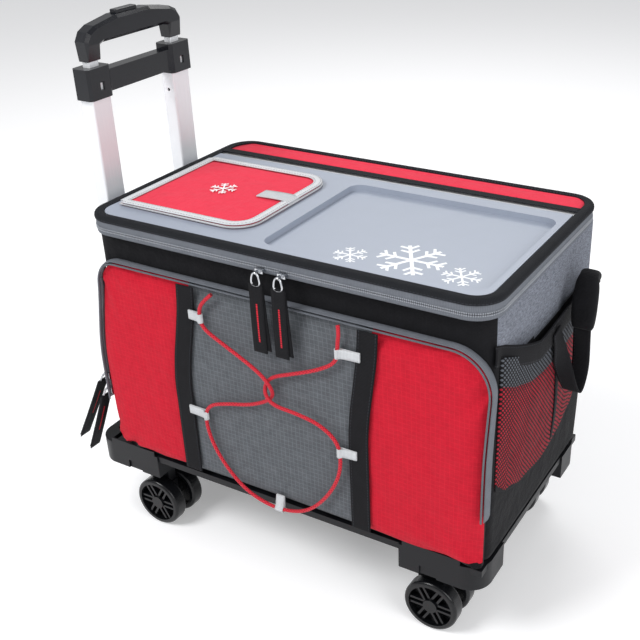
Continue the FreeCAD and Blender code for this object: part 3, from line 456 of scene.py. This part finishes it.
def tube(name, points, across, material, body, closed=False, smooth=True):
    """A round cord or wire along points in millimetres, with flat coordinates along and around it."""
    curve = bpy.data.curves.new(name, "CURVE")
    curve.dimensions = "3D"
    curve.bevel_depth = across / 2000
    curve.bevel_resolution = 4
    curve.use_fill_caps = not closed
    path = curve.splines.new("NURBS" if smooth else "POLY")
    path.points.add(len(points) - 1)
    for target, point in zip(path.points, points):
        target.co = (*at(*point), 1)
    if smooth:
        path.order_u = 3
        path.use_endpoint_u = not closed
        path.resolution_u = 6
    path.use_cyclic_u = closed
    drawn = bpy.data.objects.new(name + "_line", curve)
    bpy.context.scene.collection.objects.link(drawn)
    bpy.context.view_layer.update()
    bm = bmesh.new()
    solid = bpy.data.meshes.new_from_object(drawn.evaluated_get(bpy.context.evaluated_depsgraph_get()))
    bm.from_mesh(solid)
    bpy.data.objects.remove(drawn)
    bpy.data.meshes.remove(solid)
    return piece(name, bm, material, body)


def teeth(name, line, place, pitch, size, body):
    """Zipper coil turns, one small block every pitch along a line, turned to follow it."""
    bm = bmesh.new()
    length = line[1][-1]
    for k in range(int(length / pitch)):
        point, heading = along(line, (k + 0.5) * pitch / length)
        where, side, up = place(point, heading)
        turn = Matrix((heading, side, up)).transposed().to_4x4()
        turn.translation = at(*where)
        made = bmesh.ops.create_cube(bm, size=0.001, matrix=turn @ Matrix.Diagonal((*size, 1)))
        bmesh.ops.bevel(bm, geom=[e for e in {e for v in made["verts"] for e in v.link_edges}],
                        offset=0.0002, segments=1, profile=0.5, affect="EDGES", material=-1)
    return piece(name, bm, coil_nylon, body, soft=False)


def eased(share):
    """The same share with a gentle start and end."""
    return share * share * (3 - 2 * share)


def height_on(edge, y, smooth=False):
    """How high an edge is at a place along the wall, from its points as y and z."""
    for (y0, z0), (y1, z1) in zip(edge, edge[1:]):
        if y <= y1:
            t = (y - y0) / (y1 - y0)
            return z0 + (z1 - z0) * max(0.0, eased(t) if smooth else t)
    return edge[-1][1]


def bulge(share, power=0.5):
    """A soft rise from an edge to the middle and back."""
    return max(0.0, 1 - (2 * share - 1) ** 2) ** power


def rumple(x, y, z, across_mm, amount):
    """A smooth, repeatable unevenness of cloth."""
    return amount * noise.noise(Vector((x, y, z)) / across_mm)


# ---------------------------------------------------------------- bag walls

BAG = dict(left=-232, right=232, front=-128, back=135)
BAG_FOOT, BAG_TOP = 109.2, 384.0
wall_line = walked_ring(rounded_ring(corner=12, **BAG))

# The elastic trim's upper edge on the right wall, as y and z.
TRIM_EDGE = [(-128, 357), (-112, 351), (-88, 341), (-58, 331), (-28, 327), (112, 327), (135, 327)]


def wall_place(u, v):
    """A point of the bag's four walls, which crown softly between their seams."""
    point, heading = along(wall_line, u)
    out = heading.cross(UP)
    z = BAG_FOOT + (BAG_TOP - BAG_FOOT) * v
    proud = 0.2 + 1.6 * bulge(v, 0.7) * (0.6 + rumple(point.x, point.y, z * 0.5, 70, 1.0))
    return point.x + out.x * proud, point.y + out.y * proud, z


def make_walls():
    bm = sheet(wall_line[1][-1], BAG_TOP - BAG_FOOT, 380, 64, wall_place, closed=True)
    for face in bm.faces:
        middle = (face.calc_center_median() - LID_MIDDLE) * 1000
        on_front = middle.y < BAG["front"] + 6
        above_trim = middle.z > height_on(TRIM_EDGE, middle.y) - 6
        face.material_index = 0 if above_trim and not on_front else 1
    walls = piece("bag_walls", bm, [heather, black_polyester], "bag", thick=1.4)
    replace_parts(walls, "bag_shell")


make_walls()


# ---------------------------------------------------------------- front pocket

POCKET = dict(half=238, low=112, high=351, corner=26, face=-142, back=-128.6)
HIGH_RIGHT_CORNER, LOW_RIGHT_CORNER = 44, 6
STRAP_X, STRAP_WIDE = 109, 22
# How far the loaded pocket has shifted sideways at its mouth and at its foot, for four places across it.
SHIFTS = [(-238, 9, -5), (-109, 4, -12), (109, 2, -9), (238, -1, -4)]
# How far its foot leans out at the left, and how much more at the right.
LEAN_LEFT, LEAN_MORE = 1.5, 3.5
# How far a cord on the leaning face slides sideways and upwards for each millimetre of lean.
SLIDE_SIDEWAYS, SLIDE_UPWARDS = 0.59, 0.65
# How far the panel's foot hangs in front of the base ring.
HANGS_OVER = 6
# How far the flat panel lies behind the pocket's face, and how far it can swell towards it.
FLAT_BEHIND, SWELLS_BY = 3.4, 4.2


def sag(z):
    """0 at the pocket's mouth, 1 in its lower half."""
    return eased(min(max((POCKET["high"] - z) / 130, 0.0), 1.0))


def forward(x, z):
    """How far the full pocket leans out at its foot, in millimetres."""
    return (LEAN_LEFT + LEAN_MORE * (x + POCKET["half"]) / (2 * POCKET["half"])) * sag(z)


def settled(x, y, z):
    """Moves a point of the pocket from its flat pattern to how the full pocket hangs."""
    for (x0, top0, low0), (x1, top1, low1) in zip(SHIFTS, SHIFTS[1:]):
        if x <= x1 or x1 == SHIFTS[-1][0]:
            t = min(max((x - x0) / (x1 - x0), 0.0), 1.0)
            top, low = top0 + (top1 - top0) * t, low0 + (low1 - low0) * t
            break
    off_wall = min(max((BAG["front"] - y) / 13, 0.0), 1.0)
    return x + top + (low - top) * sag(z), y - forward(x, z) * off_wall, z


def leaned(x, y, z):
    """Carries a point that rests on the pocket's face along with its lean."""
    out = forward(x, z)
    return x + SLIDE_SIDEWAYS * out, y - out, z + SLIDE_UPWARDS * out


def swollen(piece_object, pressure, cap_mm):
    """Blows a closed cloth up slightly, so that its faces crown and crease, and keeps the result.
    The seams hold its outline, so it mostly moves outwards."""
    mesh = piece_object.data
    rest = [vert.co.copy() for vert in mesh.vertices]
    holder = piece_object.vertex_groups.new(name="held")
    back = max(point.y for point in rest)
    holder.add([i for i, point in enumerate(rest) if point.y > back - 0.002], 1.0, "REPLACE")
    cloth = piece_object.modifiers.new("swell", "CLOTH")
    settings = cloth.settings
    settings.use_pressure = True
    settings.uniform_pressure_force = pressure
    settings.effector_weights.gravity = 0
    settings.vertex_group_mass = "held"
    settings.quality = 4
    settings.mass = 0.25
    settings.tension_stiffness = settings.compression_stiffness = 12
    settings.bending_stiffness = 0.4
    cloth.collision_settings.use_collision = False
    for frame_number in range(1, 21):
        bpy.context.scene.frame_set(frame_number)
    graph = bpy.context.evaluated_depsgraph_get()
    blown = [vert.co.copy() for vert in piece_object.evaluated_get(graph).data.vertices]
    piece_object.modifiers.remove(cloth)
    bpy.context.scene.frame_set(1)
    mostly_outwards = Matrix.Diagonal((0.2, 1.0, 0.2))
    for vert, start, end in zip(mesh.vertices, rest, blown):
        move = mostly_outwards @ (end - start)
        if move.length > 0:
            vert.co = start + move * min(1, cap_mm / 1000 / move.length)


def make_pocket():
    inset = 2.0
    bm = bmesh.new()
    left, right = -POCKET["half"] + inset, POCKET["half"] - inset
    low, high = POCKET["low"] - HANGS_OVER, POCKET["high"] - inset
    middle_y = (POCKET["face"] + FLAT_BEHIND + POCKET["back"]) / 2
    deep = POCKET["back"] - POCKET["face"] - FLAT_BEHIND
    made = bmesh.ops.create_cube(bm, size=1.0)
    for vert in made["verts"]:
        vert.co = at((left + right) / 2 + vert.co.x * (right - left), middle_y + vert.co.y * deep,
                     (low + high) / 2 + vert.co.z * (high - low))
    through = [e for e in bm.edges if abs((e.verts[0].co - e.verts[1].co).y) > 0.005]
    high_right = [e for e in through if e.verts[0].co.x > LID_MIDDLE.x and e.verts[0].co.z > 0.3]
    low_right = [e for e in through if e.verts[0].co.x > LID_MIDDLE.x and e not in high_right]
    others = [e for e in through if e not in high_right + low_right]
    for edges, radius in ((others, POCKET["corner"]), (high_right, HIGH_RIGHT_CORNER),
                          (low_right, LOW_RIGHT_CORNER)):
        bmesh.ops.bevel(bm, geom=edges, offset=(radius - inset) / 1000, segments=10, profile=0.5,
                        affect="EDGES", material=-1)
    front_rim = [e for e in bm.edges if max(v.co.y for v in e.verts) < at(0, POCKET["face"] + 4, 0).y]
    bmesh.ops.bevel(bm, geom=front_rim, offset=0.0035, segments=3, profile=0.5, affect="EDGES", material=-1)
    cloths = (red_ripstop, grey_ripstop, black_polyester)
    pocket = piece("pocket_panel", bm, cloths, "bag")
    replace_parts(pocket, "front_pocket")
    remesh = pocket.modifiers.new("even", "REMESH")
    remesh.mode = "VOXEL"
    remesh.voxel_size = 0.004
    graph = bpy.context.evaluated_depsgraph_get()
    even = bpy.data.meshes.new_from_object(pocket.evaluated_get(graph))
    pocket.modifiers.clear()
    pocket.data = even
    swollen(pocket, 4.0, 5.0)
    face_y = at(0, POCKET["face"], 0).y * 1000
    start = face_y + FLAT_BEHIND
    for vert in pocket.data.vertices:
        co = (vert.co - LID_MIDDLE) * 1000
        if vert.co.y * 1000 < start + 1.0:
            lift = start + 1.0 - vert.co.y * 1000
            lift = SWELLS_BY * (1 - math.exp(-lift / SWELLS_BY))
            lift += 0.5 * rumple(co.x, co.z, 3.0, 38, 1.0) + 0.3 * rumple(co.x, co.z, 9.0, 15, 1.0)
            drawn_in = 1.4 * math.exp(-((abs(co.x) - STRAP_X) / 9) ** 2)
            vert.co.y = (start + 1.0 - max(0.0, lift - drawn_in)) / 1000
    pocket.data.materials.clear()
    for one in cloths:
        pocket.data.materials.append(one)
    for face in pocket.data.polygons:
        face.use_smooth = True
        middle = (face.center - LID_MIDDLE) * 1000
        lining = middle.y > -131.5 or middle.z < POCKET["low"] + 1
        face.material_index = 2 if lining else 1 if abs(middle.x) < STRAP_X else 0
    for vert in pocket.data.vertices:
        vert.co = at(*settled(*((vert.co - LID_MIDDLE) * 1000)))


make_pocket()


# ---------------------------------------------------------------- pocket zipper and its pulls

ZIP_FOOT = 171


def zip_ring(out):
    """The line up the left side, over the top and down the right, this far outside the pocket."""
    half, top = POCKET["half"] + out, POCKET["high"] + out
    ring = [(-half, ZIP_FOOT + 8 * k) for k in range(19)]
    for side, radius, start in ((-1, POCKET["corner"] + out, 180), (1, HIGH_RIGHT_CORNER + out, 90)):
        middle_x = side * (half - radius)
        for k in range(13):
            angle = math.radians(start - 90 * k / 12)
            ring.append((middle_x + radius * math.cos(angle), top - radius + radius * math.sin(angle)))
        if side < 0:
            ring += [(x, top) for x in range(-200, 190, 10)]
    ring += [(half, 299 - 8 * k) for k in range(17)]
    return measured([Vector((x, 0, z)) for x, z in ring])


def make_pocket_zip():
    middle = zip_ring(1.3)

    def tape(u, v):
        point, heading = along(middle, u)
        out = BACK.cross(heading)
        proud = 0.5 * math.cos(v * math.tau)
        return settled(point.x + out.x * proud, -138.8 + 10.2 * v, point.z + out.z * proud)

    band = piece("pocket_zip_tape", sheet(middle[1][-1], 10.2, 240, 8, tape), zip_tape, "bag",
                 thick=0.8)
    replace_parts(band, "pocket_zipper")

    def tooth(point, heading):
        out = BACK.cross(heading)
        return settled(point.x + out.x, -133.7, point.z + out.z), BACK, out

    teeth("pocket_zip_coil", middle, tooth, 2.0, (1.2, 3.6, 1.4), "bag")
    edge = [settled(p.x, POCKET["face"] + 1.6, p.z) for p in zip_ring(-1.2)[0]]
    tube("pocket_piping", edge, 2.0, zip_tape, "bag", smooth=False)


make_pocket_zip()


def pull(name, hinge, length, lean, body, facing, fan=0.0):
    """A wire link and a folded webbing tab that hangs from a zipper slider, leaning by an angle."""
    swing = Vector((-math.sin(lean), 0, -math.cos(lean))) if facing == "side" else -UP
    side = BACK if facing == "side" else RIGHT
    out = swing.cross(side)
    start = Vector(hinge)
    foot = 13
    # Half of the link, as how far sideways and how far down each of its turns is.
    turns = [(5.2, foot), (4.4, 4), (2.0, -0.6)]
    link = [start + side * across + swing * down for across, down in turns]
    link += [start - side * across + swing * down for across, down in reversed(turns)]
    wire = tube(name + "_link", [tuple(p) for p in link], 2.2, zip_nickel, body, closed=True)
    for layer, (shift, turn) in enumerate(((0.55, 0.0), (-0.65, fan))):
        run = length - foot + 2 - layer * 3
        turned = (swing + side * turn).normalized()
        head = start + swing * (foot - 2)
        bend = [head + out * shift, head + turned * run * 0.5 + out * (shift + 0.4),
                head + turned * run + out * shift]
        ribbon(f"{name}_tab_{layer}", spline(bend, step=3), 16, 1.0, lambda h, u: side,
               pull_webbing if layer == 0 else strap_webbing, body)
    return wire


PULLS = {
    "lid_pull_left": ((-6, -152.6, 387), 86, 0.0, "front"),
    "lid_pull_right": ((20, -152.6, 387), 86, 0.0, "front"),
    "pocket_pull_upper": ((-251.2, -133.4, 199), 116, math.radians(28), "side"),
    "pocket_pull_lower": ((-251.2, -133.4, 179), 104, math.radians(23), "side"),
}
for node, (hinge, length, lean, facing) in PULLS.items():
    fan = 0.06 if facing == "front" else 0.0
    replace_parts(pull(node + "_strap", hinge, length, lean, node, facing, fan), node)


# ---------------------------------------------------------------- front straps, loops and cord

def make_straps():
    for side, sign in (("left", -1), ("right", 1)):
        heights = (348, 320, 290, 260, 230, 200, 165, 145, 128, 114)
        line = [settled(sign * STRAP_X, POCKET["face"] - 0.9, z) for z in heights]
        strap = ribbon(f"front_strap_{side}", spline(line), STRAP_WIDE, 1.3, lambda h, u: RIGHT,
                       strap_webbing, "bag", rows=6)
        if sign < 0:
            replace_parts(strap, "front_straps")


make_straps()

# Each loop: where the cord runs through it, and where its tab ends under a strap or seam.
SIDE_LOOPS = {"upper_left": (-86, 317, -102), "lower_left": (-92.5, 197, -116),
              "upper_right": (80, 319, 103), "lower_right": (78, 204, 96)}


def cord_loop(name, line, across):
    """A small loop of webbing around the cord, carried along with the pocket's lean."""
    centre = spline([leaned(*point) for point in line], step=0.8)
    return ribbon(f"cord_loop_{name}", centre, 10, 0.8, lambda h, u: across, light_webbing, "bag",
                  step=0.8)


def make_loops():
    first = None
    for name, (x, z, root) in SIDE_LOOPS.items():
        way = -1 if root < x else 1
        line = [(root, -143.9, z), (x + way * 4, -144.1, z), (x, -144.0, z), (x - way * 2.9, -145.4, z),
                (x - way * 2.9, -148.0, z), (x, -149.6, z), (x + way * 4, -146.4, z), (root, -145.0, z)]
        loop = cord_loop(name, line, UP)
        first = first or loop
    x, z = -3, 103
    line = [(x, -143.0, z + 16), (x, -143.6, z + 5), (x, -144.2, z + 1), (x, -145.2, z - 2.8),
            (x, -147.8, z - 3.0), (x, -149.5, z), (x, -147.0, z + 4), (x, -144.2, z + 16)]
    cord_loop("bottom", line, RIGHT)
    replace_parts(first, "cord_loops")


make_loops()

# The cord's route over the pocket, from its upper left end to its upper right end.
CORD_ROUTE = [
    (-69, -144.8, 347), (-79, -146.8, 338), (-86, -146.8, 327), (-85.5, -146.8, 307),
    (-60, -146.8, 294), (-29, -148.5, 281), (-8, -152.2, 273), (1, -151, 261),
    (1, -147.4, 249), (-9, -146.8, 239), (-31, -146.8, 228), (-62, -146.8, 220.5),
    (-88, -146.8, 211), (-94, -146.8, 190), (-87, -146.8, 160), (-70, -146.8, 133),
    (-46, -146.8, 111), (-16, -146.8, 102), (12, -146.8, 104), (36, -146.8, 115),
    (57, -146.8, 138), (73, -146.8, 166), (79, -146.8, 192), (76, -146.8, 216),
    (55, -146.8, 231), (26, -149, 237.5), (4, -152.4, 241), (-7, -151.3, 250),
    (-8, -147.4, 262), (2, -146.8, 272), (25, -146.8, 281), (56, -146.8, 294),
    (79, -146.8, 309), (80, -146.8, 330), (82, -146.8, 341), (80, -144.8, 349),
]
cord = tube("bungee_cord_braid", [leaned(*point) for point in CORD_ROUTE], 4.0, cord_braid, "bag")
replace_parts(cord, "bungee_cord")


# ---------------------------------------------------------------- side pocket and carry handle

# The curved foot of the side pocket, as y and z.
SMILE = [(-118, 196), (-90, 178), (-52, 165), (5, 158), (52, 165), (84, 178), (112, 196)]


def make_side_pocket():
    def place(u, v):
        y = -118 + 230 * u
        low, high = height_on(SMILE, y, smooth=True), min(height_on(TRIM_EDGE, y) - 12, 345)
        z = low + (high - low) * v
        proud = 1.0 + 9.2 * bulge(u, 0.45) * min(1.0, 0.18 + v * 1.3) ** 0.8
        proud += rumple(y, z, 5, 40, 0.9) * bulge(u)
        return 233 + proud, y, z

    mesh = piece("side_mesh", sheet(230, 160, 110, 70, place), pocket_mesh, "bag", thick=1.0)
    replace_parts(mesh, "side_mesh_pocket")

    trim = spline([(233.4 if y < -100 else 245.2 if -60 < y < 100 else 240, y, z - 11)
                   for y, z in TRIM_EDGE[:-1]], step=4)
    band = ribbon("side_trim", trim, 22, 1.5, lambda h, u: UP, elastic_trim, "bag",
                  rows=6, crown=0.6)
    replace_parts(band, "side_band")
    # A dividing seam runs down the mesh pocket; its black tape is partly the real seam and partly painted
    # shade along it.
    seam = spline([(243.6, 4, 312), (243.8, 10, 270), (242.4, 20, 215), (237.0, 29, 166)], step=4)
    ribbon("side_seam_and_shade", seam, 7, 1.0, lambda h, u: BACK, rim_binding, "bag", rows=3)
    lower = spline([(234.8, y, z) for y, z in SMILE], step=4)
    ribbon("side_foot_seam", lower, 8, 1.0, lambda h, u: UP, rim_binding, "bag", rows=3)


make_side_pocket()

# The handle's line: how far out, along the wall and how high.
HANDLE_LINE = [(247.8, -10, 320), (250.5, 0, 288), (255.5, 10, 256), (259.5, 22, 238), (261.5, 32, 262),
               (261, 29, 308), (260, 34, 338), (257, 50, 354), (253, 72, 347), (248, 86, 316)]


def make_carry_handle():
    line = spline(HANDLE_LINE, step=2)

    def across(heading, share):
        """Flat on the wall at both sewn ends, turned outwards over the grip."""
        turn = eased(min(1.0, share / 0.3, (1 - share) / 0.12))
        return RIGHT.cross(heading).lerp(RIGHT, turn)

    strap = ribbon("carry_handle_strap", line, 18, 1.7, across, strap_webbing,
                   "carry_handle", rows=6, step=2)
    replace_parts(strap, "carry_strap", "carry_grip")
    held = spline(HANDLE_LINE[5:9], step=2)
    length = held[1][-1]

    def wrap(u, v):
        point, heading = along(held, u)
        up = RIGHT.cross(heading).normalized()
        angle = v * math.tau
        wide = 9.4 + 2.8 * bulge(min(1.0, u * 1.5), 0.5)
        high = 3.0 + 3.4 * bulge(u, 0.4)
        c, s = math.cos(angle), math.sin(angle)
        sideways = RIGHT * wide * math.copysign(abs(c) ** 0.5, c)
        upwards = up * high * math.copysign(abs(s) ** 0.6, s)
        return point + (sideways + upwards)

    bm = sheet(length, 64, 40, 32, wrap)
    bmesh.ops.remove_doubles(bm, verts=bm.verts, dist=1e-5)
    piece("carry_handle_wrap", bm, black_polyester, "carry_handle", thick=1.2)


make_carry_handle()


# ---------------------------------------------------------------- lid

LID = dict(left=-235, right=235, front=-142, back=142)
CORNER = 30


def make_lid_binding():
    """Folded webbing around the lid: up the side, over a soft edge and in over the top."""
    ring = walked_ring(rounded_ring(corner=CORNER, steps=10, **LID))
    # How far in from the side and how high each fold of the tape is, from its lower edge inwards.
    folds = [(0.3, 398.4), (0.0, 400.0), (0.3, 401.8), (1.2, 403.2), (3.2, 404.0), (6.5, 404.1), (9.4, 403.7),
             (10.0, 402.0)]

    def place(u, v):
        point, heading = along(ring, u)
        inward = UP.cross(heading)
        spot = v * (len(folds) - 1)
        i = min(int(spot), len(folds) - 2)
        t = spot - i
        inset = folds[i][0] * (1 - t) + folds[i + 1][0] * t
        height = folds[i][1] * (1 - t) + folds[i + 1][1] * t
        narrow = 1 - 0.35 * min(max((point.y - 60) / 70, 0.0), 1.0)
        return point.x + inward.x * inset, point.y + inward.y * inset * narrow, height

    length = ring[1][-1]
    edge = piece("lid_edge_tape", sheet(length, 16, 420, 18, place, closed=True), edge_binding, "lid",
                 thick=0.9)
    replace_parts(edge, "lid_binding", "back_strip")
    across = spline([(x, 95.5, 404.0) for x in (-226, -100, 0, 100, 226)], step=6)
    ribbon("tray_tape", across, 11, 0.9, lambda h, u: BACK, edge_binding, "lid", rows=6)


make_lid_binding()


def make_lid_zip():
    """Two zipper tapes and the coil between the bag's mouth and the lid."""
    inset = 1.6
    ring = walked_ring(rounded_ring(LID["left"] + inset, LID["right"] - inset, LID["front"] + inset,
                                    LID["back"] - inset, CORNER - inset, steps=10))
    length = ring[1][-1]

    def tape(low, high, crown):
        def place(u, v):
            point, heading = along(ring, u)
            out = heading.cross(UP)
            proud = crown * bulge(v)
            return point.x + out.x * proud, point.y + out.y * proud, low + (high - low) * v
        return place

    lower = piece("bag_zip_tape", sheet(length, 6, 420, 4, tape(383.2, 388.8, 0.5), closed=True), zip_tape,
                  "bag", thick=0.8)
    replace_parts(lower, "mouth_rim")
    piece("lid_zip_tape", sheet(length, 9, 420, 6, tape(389.8, 398.9, 0.5), closed=True), zip_tape,
          "lid", thick=0.8)

    def tooth(height):
        def where(point, heading):
            out = heading.cross(UP)
            return (point.x + out.x * 0.9, point.y + out.y * 0.9, height), UP, out
        return where

    teeth("bag_zip_coil", ring, tooth(388.1), 2.0, (1.2, 1.5, 1.3), "bag")
    teeth("lid_zip_coil", ring, tooth(390.4), 2.0, (1.2, 1.5, 1.3), "lid")


make_lid_zip()


def soft_pad(name, left, right, front, back, low, high, corners, crown, material, body, rumple_mm=0.6):
    """A thin stitched pad seen from above, with rounded corners and a crowned, slightly uneven top."""
    bm = bmesh.new()
    made = bmesh.ops.create_grid(bm, x_segments=72, y_segments=56, size=0.5)
    wide, deep = right - left, back - front
    for vert in made["verts"]:
        u, v = vert.co.x + 0.5, vert.co.y + 0.5
        x, y = left + wide * u, front + deep * v
        reach_x = corners[0] if x < (left + right) / 2 else corners[1]
        near_x, near_y = min(x - left, right - x), min(y - front, back - y)
        if near_x < reach_x and near_y < reach_x:
            a, b = reach_x - near_x, reach_x - near_y
            far = math.hypot(a, b)
            scale = max(a, b) / far if far else 1.0
            a, b = a * scale, b * scale
            x = left + reach_x - a if x < (left + right) / 2 else right - reach_x + a
            y = front + reach_x - b if y < (front + back) / 2 else back - reach_x + b
        edge = min(u * wide, (1 - u) * wide, v * deep, (1 - v) * deep)
        stitched = math.exp(-((edge - 6) / 2.2) ** 2)
        rise = (high - low - 1.2) + crown * min(1.0, edge / 14) ** 0.6 - stitched
        vert.co = at(x, y, low + rise + rumple(x, y, 2.0, 30, rumple_mm) * min(1.0, edge / 10))
    rim = [e for e in bm.edges if e.is_boundary]
    lower = bmesh.ops.extrude_edge_only(bm, edges=rim)
    for vert in (g for g in lower["geom"] if isinstance(g, bmesh.types.BMVert)):
        vert.co.z = low / 1000
    bmesh.ops.recalc_face_normals(bm, faces=bm.faces)
    return piece(name, bm, material, body)


def inwards(ring):
    """The level way in from each point of a closed run, worked out from its neighbours."""
    ways = []
    for i in range(len(ring)):
        heading = (ring[(i + 1) % len(ring)] - ring[i - 1]).normalized()
        ways.append(UP.cross(heading))
    return ways


def make_hatch():
    flap = soft_pad("hatch_cover", -215, -51, -105, 54, low=403.7, high=407.6, corners=(4, 26), crown=1.2,
                    material=plain_red, body="hatch")
    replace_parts(flap, "hatch_flap")
    # The binding keeps its round corners away from the hinge and meets it square.
    hinge_x, front, back = -210.5, -103, 52
    border = rounded_ring(hinge_x, -52.5, front, back, 24, steps=10)
    border = [(hinge_x, front)] + [p for p in border if p[0] > -150] + [(hinge_x, back)]
    points, walked = walked_ring(border)
    points = [Vector((p.x, p.y, 408.2)) for p in points]
    ribbon("hatch_border", (points, walked), 9.5, 1.0, lambda h, u: UP.cross(h), border_tape, "hatch",
           rows=4, crown=0.5)
    ring = points[:-1]
    edge = [(p.x - 4.3 * way.x, p.y - 4.3 * way.y, 405.4) for p, way in zip(ring, inwards(ring))]
    tube("hatch_piping", edge, 2.2, piping_tape, "hatch", closed=True, smooth=False)
    tab = spline([(-90, -20, 409.0), (-72, -20, 409.8), (-54, -20, 409.6), (-47.5, -20, 406.6)], step=2)
    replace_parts(ribbon("hatch_tab", tab, 19, 1.2, lambda h, u: BACK, light_webbing, "hatch",
                       rows=4, step=2), "hatch_pull")


make_hatch()
soft_pad("lid_back_panel", -225.5, 225.5, 100.5, 135.5, 400.9, 403.2, (3, 3), 0.8, plain_red, "lid",
         0.3)


def flake(name, x, y, height, reach, body):
    """A plain six-armed ice crystal, printed flat. Each bar is a little thicker than the last, so that
    no two of their tops lie in one plane where they cross."""
    bm = bmesh.new()
    bars = []
    for arm in range(6):
        angle = math.radians(60 * arm)
        bars.append((reach * 0.5, reach, reach * 0.11, angle, 0.0))
        for spot in (0.5, 0.78):
            for side in (-1, 1):
                bars.append((reach * spot, reach * 0.32, reach * 0.09, angle, side * math.radians(55)))
    for layer, (middle, long, wide, angle, branch) in enumerate(bars):
        turn = Matrix.Rotation(angle, 4, "Z") @ Matrix.Translation((middle / 1000, 0, 0))
        if branch:
            turn = turn @ Matrix.Rotation(branch, 4, "Z") @ Matrix.Translation((long / 2000, 0, 0))
        shape = Matrix.Diagonal((long, wide, 0.12 + 0.01 * layer, 1))
        bmesh.ops.create_cube(bm, size=0.001, matrix=Matrix.Translation(at(x, y, height)) @ turn @ shape)
    return piece(name, bm, white_print, body, soft=False)


flake("tray_print", 122, -76, 396.5, 34, "lid")
flake("tray_print_left", 64, -92, 396.5, 17, "lid")
flake("tray_print_right", 180, -88, 396.5, 19, "lid")
flake("hatch_print", -136, -26, 409.0, 15, "hatch")


# ---------------------------------------------------------------- stage, light and camera

def make_stage():
    bm = bmesh.new()
    bmesh.ops.create_grid(bm, x_segments=1, y_segments=1, size=6)
    floor_mesh = bpy.data.meshes.new("floor")
    bm.to_mesh(floor_mesh)
    bm.free()
    floor = bpy.data.objects.new("floor", floor_mesh)
    bpy.context.scene.collection.objects.link(floor)
    pale, surface = finish_named("pale studio floor", Roughness=0.9)
    surface.inputs["Base Color"].default_value = linear("#f4f4f5")
    surface.inputs["Emission Color"].default_value = linear("#ffffff")
    surface.inputs["Emission Strength"].default_value = 0.22
    floor_mesh.materials.append(pale)
    world = bpy.data.worlds.new("studio")
    world.use_nodes = True
    world.node_tree.nodes["Background"].inputs["Color"].default_value = linear("#f7f8fa")
    world.node_tree.nodes["Background"].inputs["Strength"].default_value = 0.5
    bpy.context.scene.world = world
    bpy.context.scene.view_settings.view_transform = "Standard"
    lamps = (("key", (-0.9, -1.5, 2.1), 1.0, 38), ("fill", (1.9, -0.7, 1.3), 1.4, 24),
             ("rim", (-0.6, 1.6, 1.9), 1.2, 16))
    for name, where, size, power in lamps:
        lamp = bpy.data.lights.new(name, "AREA")
        lamp.size = size
        lamp.energy = power
        holder = bpy.data.objects.new(name, lamp)
        holder.location = where
        holder.rotation_euler = (Vector((0, 0, 0.25)) - Vector(where)).to_track_quat("-Z", "Y").to_euler()
        bpy.context.scene.collection.objects.link(holder)


def make_camera():
    """A camera above the front right. Its place and turn were solved from the lid's four edges."""
    yaw, pitch, roll = (math.radians(angle) for angle in (30.713, 29.320, -1.522))
    ahead = Vector((-math.sin(yaw) * math.cos(pitch), math.cos(yaw) * math.cos(pitch), -math.sin(pitch)))
    level = ahead.cross(UP).normalized()
    upward = level.cross(ahead)
    right = level * math.cos(roll) + upward * math.sin(roll)
    up = upward * math.cos(roll) - level * math.sin(roll)
    turn = Matrix((right, up, -ahead)).transposed().to_4x4()
    turn.translation = at(523.93, -840.54, 787.6)
    lens = bpy.data.cameras.new("camera")
    lens.lens = 56.06
    lens.sensor_width = 36
    lens.shift_x, lens.shift_y = -0.0723, 0.0425
    camera = bpy.data.objects.new("camera", lens)
    camera.matrix_world = turn
    bpy.context.scene.collection.objects.link(camera)
    bpy.context.scene.camera = camera


make_stage()
make_camera()
